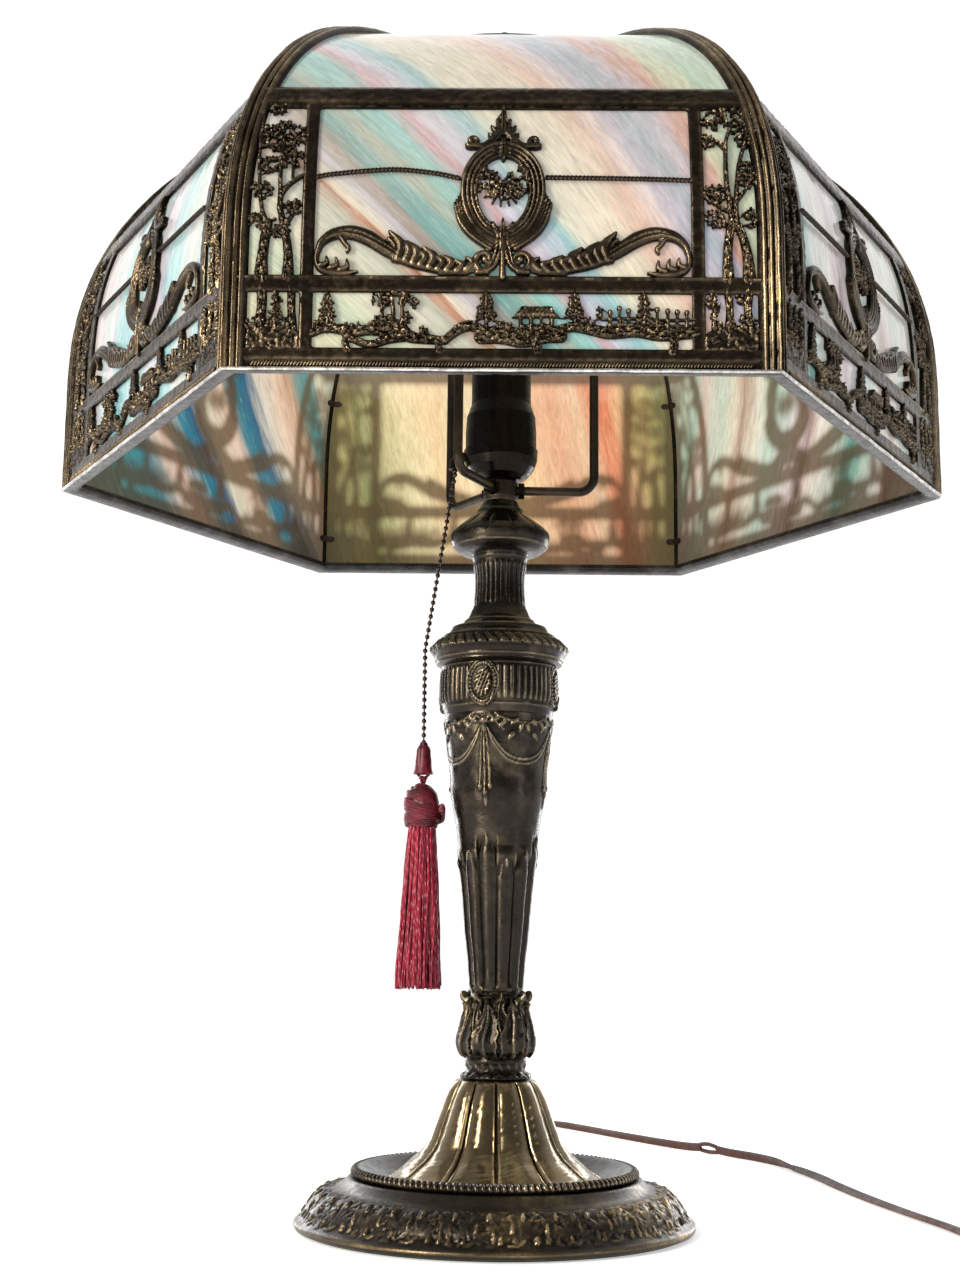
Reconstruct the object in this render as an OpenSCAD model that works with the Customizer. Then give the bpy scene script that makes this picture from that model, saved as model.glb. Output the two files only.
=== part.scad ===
// Six panel art glass table lamp: bent slag glass under cast openwork, three arm spider, pull chain
// socket and a cast baluster base stacked on a threaded pipe. Millimetres, +Z up, origin at the middle
// of the base on the table. The front panel faces -Y and the hexagon has corners on +X and -X.

/* [Shade] */
// Radius of the shade over its corners, at the rim
shade_r = 216; // [210:1:220]
// Height of the rim above the table
rim_z = 345; // [342:1:350]
// Height of the straight wall above the rim
wall_h = 55; // [45:1:60]
// Rise of the bent part of the panels, from the wall to the crown
bend_h = 141; // [136:1:146]
// Squareness of the bend: 2 is an ellipse, more is boxier
bend_n = 2.25; // [2.1:0.05:2.5]
// Thickness of the cast openwork and of the corner posts
metal_t = 1.6; // [1.2:0.1:2]
// Thickness of the slag glass
glass_t = 3; // [2.5:0.1:3.5]
// Width of a corner post on each of its two panels
post_w = 7.5; // [6:0.5:10]

/* [Base and column] */
// Radius of the cast base where it meets the table
base_r = 91; // [88:0.5:94]
// Radius of the threaded lamp pipe
pipe_r = 4.8; // [4.6:0.1:5]
// Height of the top of the column, where the arm hub sits
column_top = 341; // [341:1:341]

/* [Arms and socket] */
// Distance of the upright arms from the middle
arm_reach = 46; // [44:0.5:47]
// Radius of the arm rod
arm_r = 2.25; // [2:0.05:2.5]
// Height of the level part of the arms
arm_z = 347; // [346:0.5:348]
// Largest radius of the bulb
bulb_r = 30; // [28:0.5:31]

/* [Pull chain and tassel] */
// Radius of one bead of the pull chain
bead_r = 1.2; // [1:0.05:1.4]
// Distance from bead to bead
bead_pitch = 3.4; // [3:0.1:3.6]
// Distance of the hanging chain and tassel from the middle
tassel_x = 35.8; // [35.5:0.1:37]

/* [Cord] */
// Width of the flat two-wire cord
cord_w = 5.2; // [5:0.1:5.4]
// Thickness of the flat two-wire cord
cord_t = 2.8; // [2.6:0.1:3]

/* [Hidden] */

PANELS = 6;
FULL = 96;                          // segments of a large turned part
SMALL = 48;                         // segments of a small turned part
wall_a = shade_r * cos(30);         // distance of a panel's wall from the middle
crown_a = 50;                       // where the bend would come out level
top_a = 62;                         // where the panels end under the crown
wall_top = rim_z + wall_h;
gap = 0.1;                          // between the metal and the glass behind it
overlay_in = metal_t + gap;         // depth of the openwork below the posts' outer face
overlay_t = 1.2;
glass_in = overlay_in + overlay_t + 2 * gap;
flange_t = 1.2;                     // thickness of the rim's metal
rim_w = 7.8;                        // width of the rim's lower flange
bore_r = pipe_r + 0.2;
seat_z = rim_z + flange_t;          // where glass, openwork and posts stand on the rim

BRONZE = [0.20, 0.16, 0.12];
GOLD = [0.50, 0.40, 0.20];
STEEL = [0.55, 0.54, 0.50];
BRASS = [0.70, 0.55, 0.25];

// ---- helpers ----

module turned(points, n = FULL) rotate_extrude($fn = n) polygon(points);

module tube(r_out, r_in, z0, z1, n = SMALL) translate([0, 0, z0]) difference() {
    cylinder(r = r_out, h = z1 - z0, $fn = n);
    translate([0, 0, -1]) cylinder(r = r_in, h = z1 - z0 + 2, $fn = n);
}

module hex_nut(flats, hole_r, h) difference() {
    cylinder(r = flats / 2 / cos(30), h = h, $fn = 6);
    translate([0, 0, -1]) cylinder(r = hole_r, h = h + 2, $fn = SMALL);
}

// Points of an arc in the plane, from angle a0 to a1
function arc(c, r, a0, a1, n) = [for (i = [0:n]) let (a = a0 + (a1 - a0) * i / n)
    [c[0] + r * cos(a), c[1] + r * sin(a)]];

// ---- the panel's section, as distance from the middle and height ----

BEND_STEPS = 14;
bend_end = acos(pow((top_a - crown_a) / (wall_a - crown_a), bend_n / 2));
function bend(t) = [crown_a + (wall_a - crown_a) * pow(cos(t), 2 / bend_n),
    wall_top + bend_h * pow(sin(t), 2 / bend_n)];
function bend_dir(t) = let (a = bend(max(0.01, t - 0.5)), b = bend(t + 0.5)) (b - a) / norm(b - a);
// A point of the bend, moved d inwards at right angles to it
function bend_in(t, d) = let (v = bend_dir(t)) bend(t) - d * [v[1], -v[0]];
function section(d) = concat([[wall_a - d, seat_z], [wall_a - d, wall_top]],
    [for (i = [1:BEND_STEPS]) bend_in(bend_end * pow(i / BEND_STEPS, 1.1), d)]);

// A panel-shaped skin between two depths, facing +X, running across along Y
module skin(d0, d1) {
    back = section(d1);
    rotate([90, 0, 0]) linear_extrude(height = 2 * shade_r, center = true)
        polygon(concat(section(d0), [for (i = [len(back) - 1:-1:0]) back[i]]));
}

// The sixth of the plan that belongs to one panel, its two sides moved in by g
module sector(g) linear_extrude(height = 600)
    polygon([[2 * g, 0], [300, (300 - 2 * g) * tan(30)], [300, -(300 - 2 * g) * tan(30)]]);

// Turns something made for a panel facing +X to panel k; panel 1 is the front
module at_panel(k) rotate([0, 0, 270 + 60 * (k - 1)]) children();

// ---- base and column ----

module felt_pad() color([0.16, 0.20, 0.14]) cylinder(r = base_r - 2.5, h = 1, $fn = FULL);

module base_casting() color(BRONZE) difference() {
    turned([[base_r - 3, 1], [base_r, 1], [base_r, 3.5], [base_r - 2.4, 5.8], [86.4, 7.6], [84.4, 10.6],
        [81, 14.2], [77.6, 17.4], [75.2, 19], [72.5, 18.6], [68.5, 17.7], [64.5, 18.1], [61.5, 19.8],
        [bore_r, 19.8], [bore_r, 17], [14, 17], [60, 16.2], [73, 14.6], [79, 10.4], [84, 5], [base_r - 4, 1]]);
    translate([0, base_r + 3, EXIT_Z]) rotate([90, 0, 0]) cylinder(r = 4, h = 20, $fn = SMALL);
}

module saucer_casting() color(BRONZE) turned([[bore_r, 19.8], [61, 19.8], [63.4, 21.8],
    [64.6, 23.2], [65, 24.6], [64.6, 26], [63, 27.2], [60, 26.4], [54, 23.8], [48.8, 21.4],
    [bore_r, 21.4]]);

module petal_bell() color(GOLD) turned([[bore_r, 66], [17.6, 66], [20, 61.5], [22.4, 56],
    [24.5, 50.5], [26.6, 45], [28.2, 41], [30, 37], [32.7, 33.3], [36, 30], [44, 24.6],
    [48.4, 22.6], [48.4, 21.4], [45, 21.4], [41.5, 23.4], [34, 28.4], [27.6, 36], [24, 44.5],
    [20, 55], [15.4, 62.5], [bore_r, 62.5]]);

module leaf_collar() color(BRONZE) turned([[bore_r, 66], [16, 66], [16.6, 67.4], [14.4, 69.2],
    [13.8, 72], [14.6, 74.6], [13.9, 76.8], [bore_r, 76.8]]);

module acanthus_knop() color(BRONZE) turned([[bore_r, 76.8], [14.2, 76.8], [16.2, 79], [17, 82],
    [16.9, 85], [15.9, 89], [14.9, 93], [13.9, 97], [13.7, 101], [14.8, 103.6], [13.2, 105.4],
    [12.6, 106.6], [bore_r, 106.6]]);

FLUTES = 12;
module fluted_shaft() color(BRONZE) difference() {
    turned([[bore_r, 106.6], [12.6, 106.6], [13.6, 120], [15.3, 134], [16.5, 148], [18.7, 168],
        [18.6, 174], [20, 185], [22.1, 196], [22.7, 208], [23.9, 219], [25.7, 235],
        [bore_r, 235]]);
    for (i = [0:FLUTES - 1]) rotate([0, 0, 360 / FLUTES * (i + 0.5)])
        translate([14.2, 0, 108]) rotate([0, 5.6, 0]) cylinder(r = 1.7, h = 52, $fn = 16);
}

module urn_band() color(BRONZE) turned([[bore_r, 235], [25.7, 235], [26.9, 239.4], [27.9, 243],
    [28.1, 248], [27.9, 253], [27.5, 259], [bore_r, 259]]);

module urn_shoulder() color(BRONZE) turned([[bore_r, 259], [28.4, 259], [29.9, 260.2],
    [31.4, 263.2], [33.1, 265.6], [32.8, 267.4], [30.6, 269.6], [27.8, 272], [24.7, 275],
    [22, 278], [18, 280], [16.2, 281.6], [14.6, 284], [13.6, 286.6], [bore_r, 286.6]]);

module neck_casting() color(BRONZE) turned([[bore_r, 286.6], [13.6, 286.6], [12.5, 289],
    [11.8, 292.5], [11.4, 300], [11.9, 306], [13.2, 312], [13.8, 314.4], [bore_r, 314.4]]);

module mushroom_cap() color(BRONZE) turned([[bore_r, 314.4], [14, 314.4], [19.6, 315.4],
    [22.7, 317.8], [23.6, 321], [23, 324.6], [20.8, 328.4], [16.4, 332.8], [11.6, 336.8],
    [9.4, 339.4], [8.2, column_top], [bore_r, column_top]]);

PIPE_Z0 = 7.5;
PIPE_Z1 = 357;
module lamp_pipe() color(STEEL) tube(pipe_r, 3.4, PIPE_Z0, PIPE_Z1);

module pipe_washer() color(STEEL) tube(13, bore_r, 15.2, 17);

module pipe_nut() color(STEEL) translate([0, 0, 9.6]) hex_nut(15, pipe_r, 5.6);

// The bushing stands in the wall at the back of the base
EXIT_Z = 7;
module cord_bushing() color([0.12, 0.11, 0.10]) translate([0, 0, EXIT_Z]) rotate([-90, 0, 0]) {
    tube(3.95, 3, 80, base_r);
    tube(5.2, 3, base_r, base_r + 2);
}

// The lead inside the lamp: in through the base, up the pipe to the socket
LEAD_R = 1.6;
LEAD_Z = 4.4;
LEAD_BEND = 6;
LEAD_Y = 70;                        // where it starts to rise to the bushing
LEAD_TOP = 372;
LEAD_RISE = atan2(EXIT_Z - LEAD_Z, 12);
module inner_lead() color([0.25, 0.18, 0.10]) {
    translate([0, 0, LEAD_Z + LEAD_BEND])
        cylinder(r = LEAD_R, h = LEAD_TOP - LEAD_Z - LEAD_BEND, $fn = 24);
    translate([0, LEAD_BEND, LEAD_Z + LEAD_BEND]) rotate([0, 0, -90]) rotate([90, 0, 0])
        rotate([0, 0, 180]) rotate_extrude(angle = 90, $fn = SMALL)
            translate([LEAD_BEND, 0]) circle(r = LEAD_R, $fn = 24);
    translate([0, LEAD_BEND, LEAD_Z]) rotate([-90, 0, 0])
        cylinder(r = LEAD_R, h = LEAD_Y - LEAD_BEND, $fn = 24);
    translate([0, LEAD_Y, LEAD_Z]) {
        sphere(r = LEAD_R, $fn = 24);
        rotate([LEAD_RISE - 90, 0, 0]) cylinder(r = LEAD_R, h = 12, $fn = 24);
    }
}

// ---- arms ----

HUB_TOP = 352;
ARM_ANGLES = [2, 124, 244];
ARM_BEND = 8;
SPIDER_Z = 534;                     // underside of the top spider
SPIDER_T = 2.5;

module arm_hub() color(BRONZE) difference() {
    turned([[bore_r, column_top], [7.6, column_top], [8.4, 343.4], [8.4, 350.6], [7.4, HUB_TOP],
        [bore_r, HUB_TOP]], SMALL);
    for (a = ARM_ANGLES) rotate([0, 0, a]) translate([0, 0, arm_z]) rotate([0, 90, 0])
        cylinder(r = arm_r, h = 12, $fn = 24);
}

module arm(angle) color(BRONZE) rotate([0, 0, angle]) {
    translate([5.2, 0, arm_z]) rotate([0, 90, 0])
        cylinder(r = arm_r, h = arm_reach - ARM_BEND - 5.2, $fn = 24);
    translate([arm_reach - ARM_BEND, 0, arm_z + ARM_BEND]) rotate([90, 0, 0]) rotate([0, 0, -90])
        rotate_extrude(angle = 90, $fn = SMALL) translate([ARM_BEND, 0]) circle(r = arm_r, $fn = 24);
    translate([arm_reach, 0, arm_z + ARM_BEND])
        cylinder(r = arm_r, h = SPIDER_Z + SPIDER_T + 4 - arm_z - ARM_BEND, $fn = 24);
}
module arm_right() arm(ARM_ANGLES[0]);
module arm_rear() arm(ARM_ANGLES[1]);
module arm_front() arm(ARM_ANGLES[2]);

// A nut against the hub and one on top of the spider, on each arm
module arm_nuts() color(BRASS) for (a = ARM_ANGLES) rotate([0, 0, a]) {
    translate([8.6, 0, arm_z]) rotate([0, 90, 0]) hex_nut(7, arm_r, 3);
    translate([arm_reach, 0, SPIDER_Z + SPIDER_T]) hex_nut(7, arm_r, 3);
}

STUD_R = 3.15;
module top_spider() color(STEEL) difference() {
    union() {
        tube(57, 40, SPIDER_Z, SPIDER_Z + SPIDER_T, FULL);
        for (a = ARM_ANGLES) rotate([0, 0, a + 60]) translate([5, -4, SPIDER_Z])
            cube([37, 8, SPIDER_T]);
        translate([0, 0, SPIDER_Z - 2]) cylinder(r = 9, h = SPIDER_T + 4, $fn = SMALL);
    }
    translate([0, 0, SPIDER_Z - 5]) cylinder(r = STUD_R, h = 20, $fn = SMALL);
    for (a = ARM_ANGLES) rotate([0, 0, a]) translate([arm_reach, 0, SPIDER_Z - 2])
        cylinder(r = arm_r, h = 10, $fn = 24);
}

module top_stud() color(STEEL) {
    translate([0, 0, SPIDER_Z - 2]) cylinder(r = STUD_R, h = 573 - SPIDER_Z + 2, $fn = SMALL);
    translate([0, 0, SPIDER_Z - 5]) cylinder(r = 5, h = 3, $fn = SMALL);
}

// ---- socket ----

GUIDE_Z = 364;
GUIDE_X = 22.5;
GUIDE_BEND = 4;
module guide_hole() translate([0, 0, GUIDE_Z]) rotate([0, -90, 0]) cylinder(r = 2.6, h = 30, $fn = 24);

module socket_cap() color(BRASS) difference() {
    turned([[bore_r, HUB_TOP], [9.4, HUB_TOP], [13.4, 354], [16.4, 358], [17.8, 362], [18.1, 367],
        [17.5, 367], [17.2, 362.2], [15.9, 358.6], [13, 354.8], [9.2, 353], [bore_r, 353]], SMALL);
    guide_hole();
}

module socket_shell() color(BRASS) difference() {
    turned([[16.8, 362.4], [17.2, 362.4], [17.4, 367.2], [17.4, 376], [16.9, 384], [14.8, 390], [14.6, 392],
        [14.6, 426], [15.4, 428], [14.9, 428.2], [14.1, 426.2], [14.1, 391.8], [14.4, 389.6],
        [16.4, 383.8], [16.9, 376], [16.9, 367.2]], SMALL);
    guide_hole();
}

module socket_insulator() color([0.45, 0.38, 0.28]) tube(14.05, 13.6, 392.4, 425);

SCREW_R = 13;
module socket_core() color([0.10, 0.09, 0.08]) difference() {
    turned([[0, 366.4], [16.3, 366.4], [16.3, 376], [15.8, 383.6], [12.9, 389], [12.9, 399],
        [0, 399]], SMALL);
    translate([0, 0, 360]) cylinder(r = 4, h = 14, $fn = 24);
}

module socket_thread() color(BRASS) {
    tube(13.5, SCREW_R + 0.08, 399, 421);
    tube(13.5, 6, 399, 399.6);
    translate([0, 0, 399]) cylinder(r = 3.4, h = 1, $fn = 24);
}

// An elbow from the side of the socket, its mouth facing down
module chain_guide() color(BRASS) difference() {
    union() {
        translate([-GUIDE_X + GUIDE_BEND, 0, GUIDE_Z]) rotate([0, 90, 0])
            cylinder(r = 2.5, h = 2.1, $fn = 24);
        translate([-GUIDE_X + GUIDE_BEND, 0, GUIDE_Z - GUIDE_BEND]) rotate([90, 0, 0])
            rotate([0, 0, 90]) rotate_extrude(angle = 90, $fn = SMALL)
                translate([GUIDE_BEND, 0]) circle(r = 2.5, $fn = 24);
        translate([-GUIDE_X, 0, 357.6]) cylinder(r = 2.5, h = GUIDE_Z - GUIDE_BEND - 357.6, $fn = 24);
        translate([-GUIDE_X, 0, 357.6]) cylinder(r = 3.2, h = 0.8, $fn = 24);
    }
    translate([-GUIDE_X + GUIDE_BEND, 0, GUIDE_Z]) rotate([0, 90, 0])
        cylinder(r = 1.8, h = 4, $fn = 24);
    translate([-GUIDE_X + GUIDE_BEND, 0, GUIDE_Z - GUIDE_BEND]) rotate([90, 0, 0])
        rotate([0, 0, 90]) rotate_extrude(angle = 90, $fn = SMALL)
            translate([GUIDE_BEND, 0]) circle(r = 1.8, $fn = 24);
    translate([-GUIDE_X, 0, 350]) cylinder(r = 1.8, h = GUIDE_Z - GUIDE_BEND - 350, $fn = 24);
}

// ---- pull chain and tassel ----

CHAIN_TOP = 355;                    // where the hanging chain hinges on the first beads
CHAIN_KNEE = 268;                   // where it comes clear of the urn's shoulder
CHAIN_END = 222.6;
WIRE_R = 0.45;
knee = [-tassel_x, CHAIN_KNEE];
chain_top = [-GUIDE_X, CHAIN_TOP];
slant = norm(knee - chain_top);
function on_chain(s) = s < slant ? chain_top + (knee - chain_top) * s / slant
    : [-tassel_x, CHAIN_KNEE - (s - slant)];
chain_len = slant + CHAIN_KNEE - CHAIN_END;

module beads(points) for (p = points) translate([p[0], 0, p[1]]) sphere(r = bead_r, $fn = 16);

module pull_link() color(BRONZE) {
    beads([[-GUIDE_X, 360.4], [-GUIDE_X, 357]]);
    translate([-GUIDE_X, 0, 355.2]) cylinder(r = WIRE_R, h = 6.2, $fn = 16);
}

module bead_chain() color(BRONZE) {
    beads([for (s = [1.5:bead_pitch:chain_len - 1.4]) on_chain(s)]);
    translate([chain_top[0], 0, chain_top[1]])
        rotate([0, 180 + atan2(tassel_x - GUIDE_X, CHAIN_TOP - CHAIN_KNEE), 0])
            translate([0, 0, 0.2]) cylinder(r = WIRE_R, h = slant - 0.2, $fn = 16);
    translate([-tassel_x, 0, CHAIN_END + 0.2]) cylinder(r = WIRE_R, h = CHAIN_KNEE - CHAIN_END, $fn = 16);
}

module on_tassel() translate([-tassel_x, 0, 0]) children();

module chain_bell() color(GOLD) on_tassel() turned([[0, 222.2], [1.4, 222.2], [1.6, 220.6],
    [2.6, 219.4], [3, 216], [3.6, 211.6], [4.9, 207.6], [4.3, 207.4], [3, 211.4], [0, 211.4]], 32);

module tassel_loop() color([0.35, 0.03, 0.08]) on_tassel()
    translate([0, 0, 202.4]) cylinder(r = 1.5, h = 9, $fn = 24);

module tassel_head() color([0.45, 0.04, 0.10]) on_tassel() turned([[0, 202.4], [2.6, 202.4],
    [6, 200.6], [8.2, 197.4], [8.9, 193], [8.5, 188], [7.4, 184.2], [6.6, 182.4], [0, 182.4]], 32);

module tassel_skirt() color([0.50, 0.04, 0.12]) on_tassel() turned([[0, 182.4], [6.6, 182.4],
    [8.2, 176], [8.8, 165], [9.6, 145], [10.6, 125], [11, 108.4], [0, 108.4]], 32);

// ---- bulb ----

module bulb_contact() color(STEEL) translate([0, 0, 400.4]) cylinder(r = 4, h = 1.7, $fn = 32);

module bulb_base() color(BRASS) turned([[0, 402.4], [5, 402.4], [9, 404.6], [SCREW_R, 406.4],
    [SCREW_R, 425], [12.4, 428.6], [0, 428.6]], SMALL);

BULB_Z = 478;
module bulb_glass() color([1, 0.95, 0.85, 0.6]) turned(concat([[0, 428.6], [12.4, 428.6],
    [14, 438], [18.4, 450.6]], arc([0, BULB_Z], bulb_r, -40, 90, 12)), FULL);

// ---- crown ----

CROWN_Z = SPIDER_Z + SPIDER_T + 0.1; // the shade hangs on the spider by this lip
CAP_Z = 545.3;
module crown_ring() color(BRONZE) turned([[51.4, CROWN_Z], [58, CROWN_Z], [58, 541.2], [72, 541.2],
    [84, 540.2], [86, 540.6], [86, 541.8], [84, 542.8], [72, 544], [60, 545], [51.4, 545]]);

module vent_cap() color(BRONZE) difference() {
    turned([[57, CAP_Z], [59.5, CAP_Z], [59.8, 547.2], [57, 549.4], [49, 553], [38, 556.6],
        [26, 559], [12, 560.5], [STUD_R + 0.3, 560.5], [STUD_R + 0.3, 558.7], [12, 558.7],
        [26, 557.2], [38, 554.8], [48, 551.4], [55, 548]]);
    for (i = [0:11]) rotate([0, 0, 30 * i]) translate([40, 0, 545]) cylinder(r = 3.2, h = 20, $fn = 24);
}

INSERT_R = 4.6;
module finial_insert() color(BRASS) tube(INSERT_R, STUD_R + 0.05, 560.8, 571);

module finial() color(GOLD) difference() {
    turned([[0, 560.8], [7.4, 560.8], [9.8, 562], [9.8, 563.6], [7, 565.4], [6.3, 567.6],
        [7.6, 570], [9.6, 573.4], [10.2, 577], [9.2, 580.8], [6.4, 584], [3.6, 585.6],
        [3.4, 587.4], [2.2, 589.4], [0, 590]], SMALL);
    translate([0, 0, 560]) cylinder(r = INSERT_R + 0.05, h = 11.3, $fn = SMALL);
    translate([0, 0, 560]) cylinder(r = STUD_R + 0.1, h = 14, $fn = SMALL);
}

// ---- shade frame ----

module hexagon(apothem, h) cylinder(r = apothem / cos(30), h = h, $fn = 6);

module rim_channel() color(STEEL) {
    difference() {
        translate([0, 0, rim_z]) hexagon(wall_a, flange_t);
        translate([0, 0, rim_z - 1]) hexagon(wall_a - rim_w, 10);
    }
    difference() {
        translate([0, 0, rim_z]) hexagon(wall_a - rim_w + flange_t, 6);
        translate([0, 0, rim_z - 1]) hexagon(wall_a - rim_w, 10);
    }
}

// Angle strips over the six corners, from the rim to the crown
module corner_posts() color(BRONZE) for (k = [1:PANELS]) at_panel(k) for (side = [-1, 1])
    intersection() {
        skin(0, metal_t);
        difference() {
            sector(0);
            sector(post_w);
        }
        translate([0, side > 0 ? 0 : -300, 0]) cube([300, 300, 600]);
    }

// Bent tabs that hold the glass in its corners
module glass_clips() color(STEEL) for (k = [1:PANELS]) at_panel(k) intersection() {
    skin(glass_in + glass_t + gap, glass_in + glass_t + gap + 0.8);
    for (z = [362, 446], side = [-1, 1]) translate([140, side * 93 - 4, z]) cube([60, 8, 8]);
}

module glass(k) color([0.85, 0.80, 0.62, 0.8]) at_panel(k) intersection() {
    skin(glass_in, glass_in + glass_t);
    sector(1.6);
}
module glass_1() glass(1);
module glass_2() glass(2);
module glass_3() glass(3);
module glass_4() glass(4);
module glass_5() glass(5);
module glass_6() glass(6);

// ---- openwork, drawn on the panel as across and height ----

BAR = 5.3;
BAND_TOP = 354;
MID_Z = 378.3;
TOP_BAR_Z = 460.4;
UPRIGHT_X = 76;
CART_Z = 421;
module box(x0, z0, x1, z1) translate([x0, z0]) square([x1 - x0, z1 - z0]);
module oval(rx, rz) polygon([for (i = [0:23]) [rx * cos(15 * i), rz * sin(15 * i)]]);
module curl(c, r, w, a0, a1) polygon(concat(arc(c, r + w / 2, a0, a1, 10), arc(c, r - w / 2, a1, a0, 10)));

module openwork() {
    box(-110, seat_z - 1, 110, BAND_TOP);
    box(-110, MID_Z, 110, MID_Z + BAR);
    box(-110, TOP_BAR_Z, 110, TOP_BAR_Z + 11);
    polygon([[-74, BAND_TOP - 1], [-74, 362], [-52, 368], [-34, 361], [-10, 364], [18, 369],
        [44, 362], [74, 366], [74, BAND_TOP - 1]]);
    for (side = [-1, 1]) scale([side, 1]) {
        box(UPRIGHT_X - BAR / 2, BAND_TOP - 1, UPRIGHT_X + BAR / 2, TOP_BAR_Z + 1);
        box(98, seat_z - 1, 109, TOP_BAR_Z + 1);
        box(86, BAND_TOP - 1, 89, TOP_BAR_Z + 1);
        for (z = [366, 398, 418, 440]) translate([88, z]) circle(r = 6.5, $fn = 16);
        curl([34, 400.4], 18, 3.2, 150, 300);
        curl([58, 395], 12, 3.2, -90, 140);
        curl([24, 430], 12, 3.2, -70, 110);
        box(11, 407.6, 20, 410.8);
        box(8, 438.8, 21, 442);
    }
    translate([0, CART_Z]) difference() {
        oval(15, 24);
        translate([0, -2]) oval(9, 13.5);
    }
    box(-4, MID_Z + BAR - 1, 4, CART_Z - 20);
    box(-5, CART_Z + 20, 5, TOP_BAR_Z - 8);
}

module overlay(k) color(BRONZE) at_panel(k) intersection() {
    skin(overlay_in, overlay_in + overlay_t);
    sector(1.6);
    translate([120, 0, 0]) rotate([90, 0, 90]) linear_extrude(height = 80) openwork();
}
module overlay_1() overlay(1);
module overlay_2() overlay(2);
module overlay_3() overlay(3);
module overlay_4() overlay(4);
module overlay_5() overlay(5);
module overlay_6() overlay(6);

// ---- cord ----

CORD_Z = 1.6;
COIL_AT = [245, -62];
COIL_R = 28.5;
LAY = cord_w + 0.1;
ROUTE = [[0, 91, 7], [0, 97, 6.8], [0, 104, 4.6], [-2, 114, 2], [-6, 130, CORD_Z],
    [-12, 165, CORD_Z], [-16, 210, CORD_Z], [-17, 260, CORD_Z], [-18, 310, CORD_Z],
    [-19, 360, CORD_Z], [-19, 410, CORD_Z], [-16, 442, CORD_Z], [-4, 464, CORD_Z],
    [16, 472, CORD_Z], [35, 462, CORD_Z], [50, 440, CORD_Z], [66, 412, CORD_Z],
    [86, 375, CORD_Z], [110, 334, CORD_Z], [136, 296, CORD_Z], [158, 262, CORD_Z],
    [172, 225, CORD_Z], [180, 185, CORD_Z], [185, 140, CORD_Z], [191, 98, CORD_Z],
    [200, 50, CORD_Z], [209, 8, CORD_Z], [213.2, -26, CORD_Z], [213.9, -62, CORD_Z]];
RINGS_PER_POINT = 2.6;
SIDES = 8;

// A smooth curve through four neighbouring points
function between(a, b, c, d, t) = 0.5 * (2 * b + (c - a) * t + (2 * a - 5 * b + 4 * c - d) * t * t
    + (3 * b - a - 3 * c + d) * t * t * t);
function route_at(s) = let (last = len(ROUTE) - 1, i = min(floor(s), last - 1), t = s - i)
    between(ROUTE[max(i - 1, 0)], ROUTE[i], ROUTE[i + 1], ROUTE[min(i + 2, last)], t);
ring_count = floor((len(ROUTE) - 1) * RINGS_PER_POINT);
centres = [for (i = [0:ring_count]) route_at(i * (len(ROUTE) - 1) / ring_count)];
function heading(i) = let (v = centres[min(i + 1, ring_count)] - centres[max(i - 1, 0)]) v / norm(v);
function side_of(v) = let (s = [v[1], -v[0], 0]) s / norm(s);
function ring(i) = let (v = heading(i), s = side_of(v), u = cross(s, v))
    [for (j = [0:SIDES - 1]) let (a = 360 / SIDES * (j + 0.5))
        centres[i] + s * cord_w / 2 * cos(a) + u * cord_t / 2 * sin(a)];

module cord_tube() color([0.20, 0.14, 0.09]) polyhedron(
    points = [for (i = [0:ring_count]) each ring(i)],
    faces = concat([[for (j = [0:SIDES - 1]) j]],
        [for (i = [0:ring_count - 1], j = [0:SIDES - 1]) let (n = (j + 1) % SIDES)
            [i * SIDES + j, (i + 1) * SIDES + j, (i + 1) * SIDES + n, i * SIDES + n]],
        [[for (j = [SIDES - 1:-1:0]) ring_count * SIDES + j]]));

module cord_coil() color([0.20, 0.14, 0.09]) translate([COIL_AT[0], COIL_AT[1], 0])
    tube(COIL_R + LAY, COIL_R - LAY, 0.1, 0.1 + 2 * cord_t + 0.2, FULL);

// A small two-blade plug, lying beside the coil
PLUG_Y0 = -46;
module plug() {
    at = [COIL_AT[0] + COIL_R + LAY / 2, PLUG_Y0, 6.6];
    color([0.14, 0.10, 0.07]) translate(at) {
        rotate([-90, 0, 0]) cylinder(r1 = 3, r2 = 5, h = 16, $fn = 32);
        translate([-8.5, 16, -6.5]) cube([17, 24, 13]);
    }
    color(BRASS) translate(at) for (side = [-1, 1])
        translate([side * 6.35 - 0.75, 39, -3.2]) cube([1.5, 17, 6.4]);
}

felt_pad();
base_casting();
saucer_casting();
petal_bell();
leaf_collar();
acanthus_knop();
fluted_shaft();
urn_band();
urn_shoulder();
neck_casting();
mushroom_cap();
lamp_pipe();
pipe_washer();
pipe_nut();
cord_bushing();
inner_lead();
arm_hub();
arm_right();
arm_rear();
arm_front();
arm_nuts();
top_spider();
top_stud();
socket_cap();
socket_shell();
socket_insulator();
socket_core();
socket_thread();
chain_guide();
pull_link();
bead_chain();
chain_bell();
tassel_loop();
tassel_head();
tassel_skirt();
bulb_contact();
bulb_base();
bulb_glass();
crown_ring();
vent_cap();
finial_insert();
finial();
rim_channel();
corner_posts();
glass_clips();
glass_1();
glass_2();
glass_3();
glass_4();
glass_5();
glass_6();
overlay_1();
overlay_2();
overlay_3();
overlay_4();
overlay_5();
overlay_6();
cord_tube();
cord_coil();
plug();
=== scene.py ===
"""Six panel slag glass table lamp: its looks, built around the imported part.

Shapes are in millimetres until a mesh is made; the camera, the lights and the paint are in metres.
The frame is the part's own, +Z up, the front panel facing -Y. Each piece rides on the body that its
CAD node belongs to.
"""

import functools
import math

import bpy
import numpy as np
from mathutils import Matrix, Vector


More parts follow.
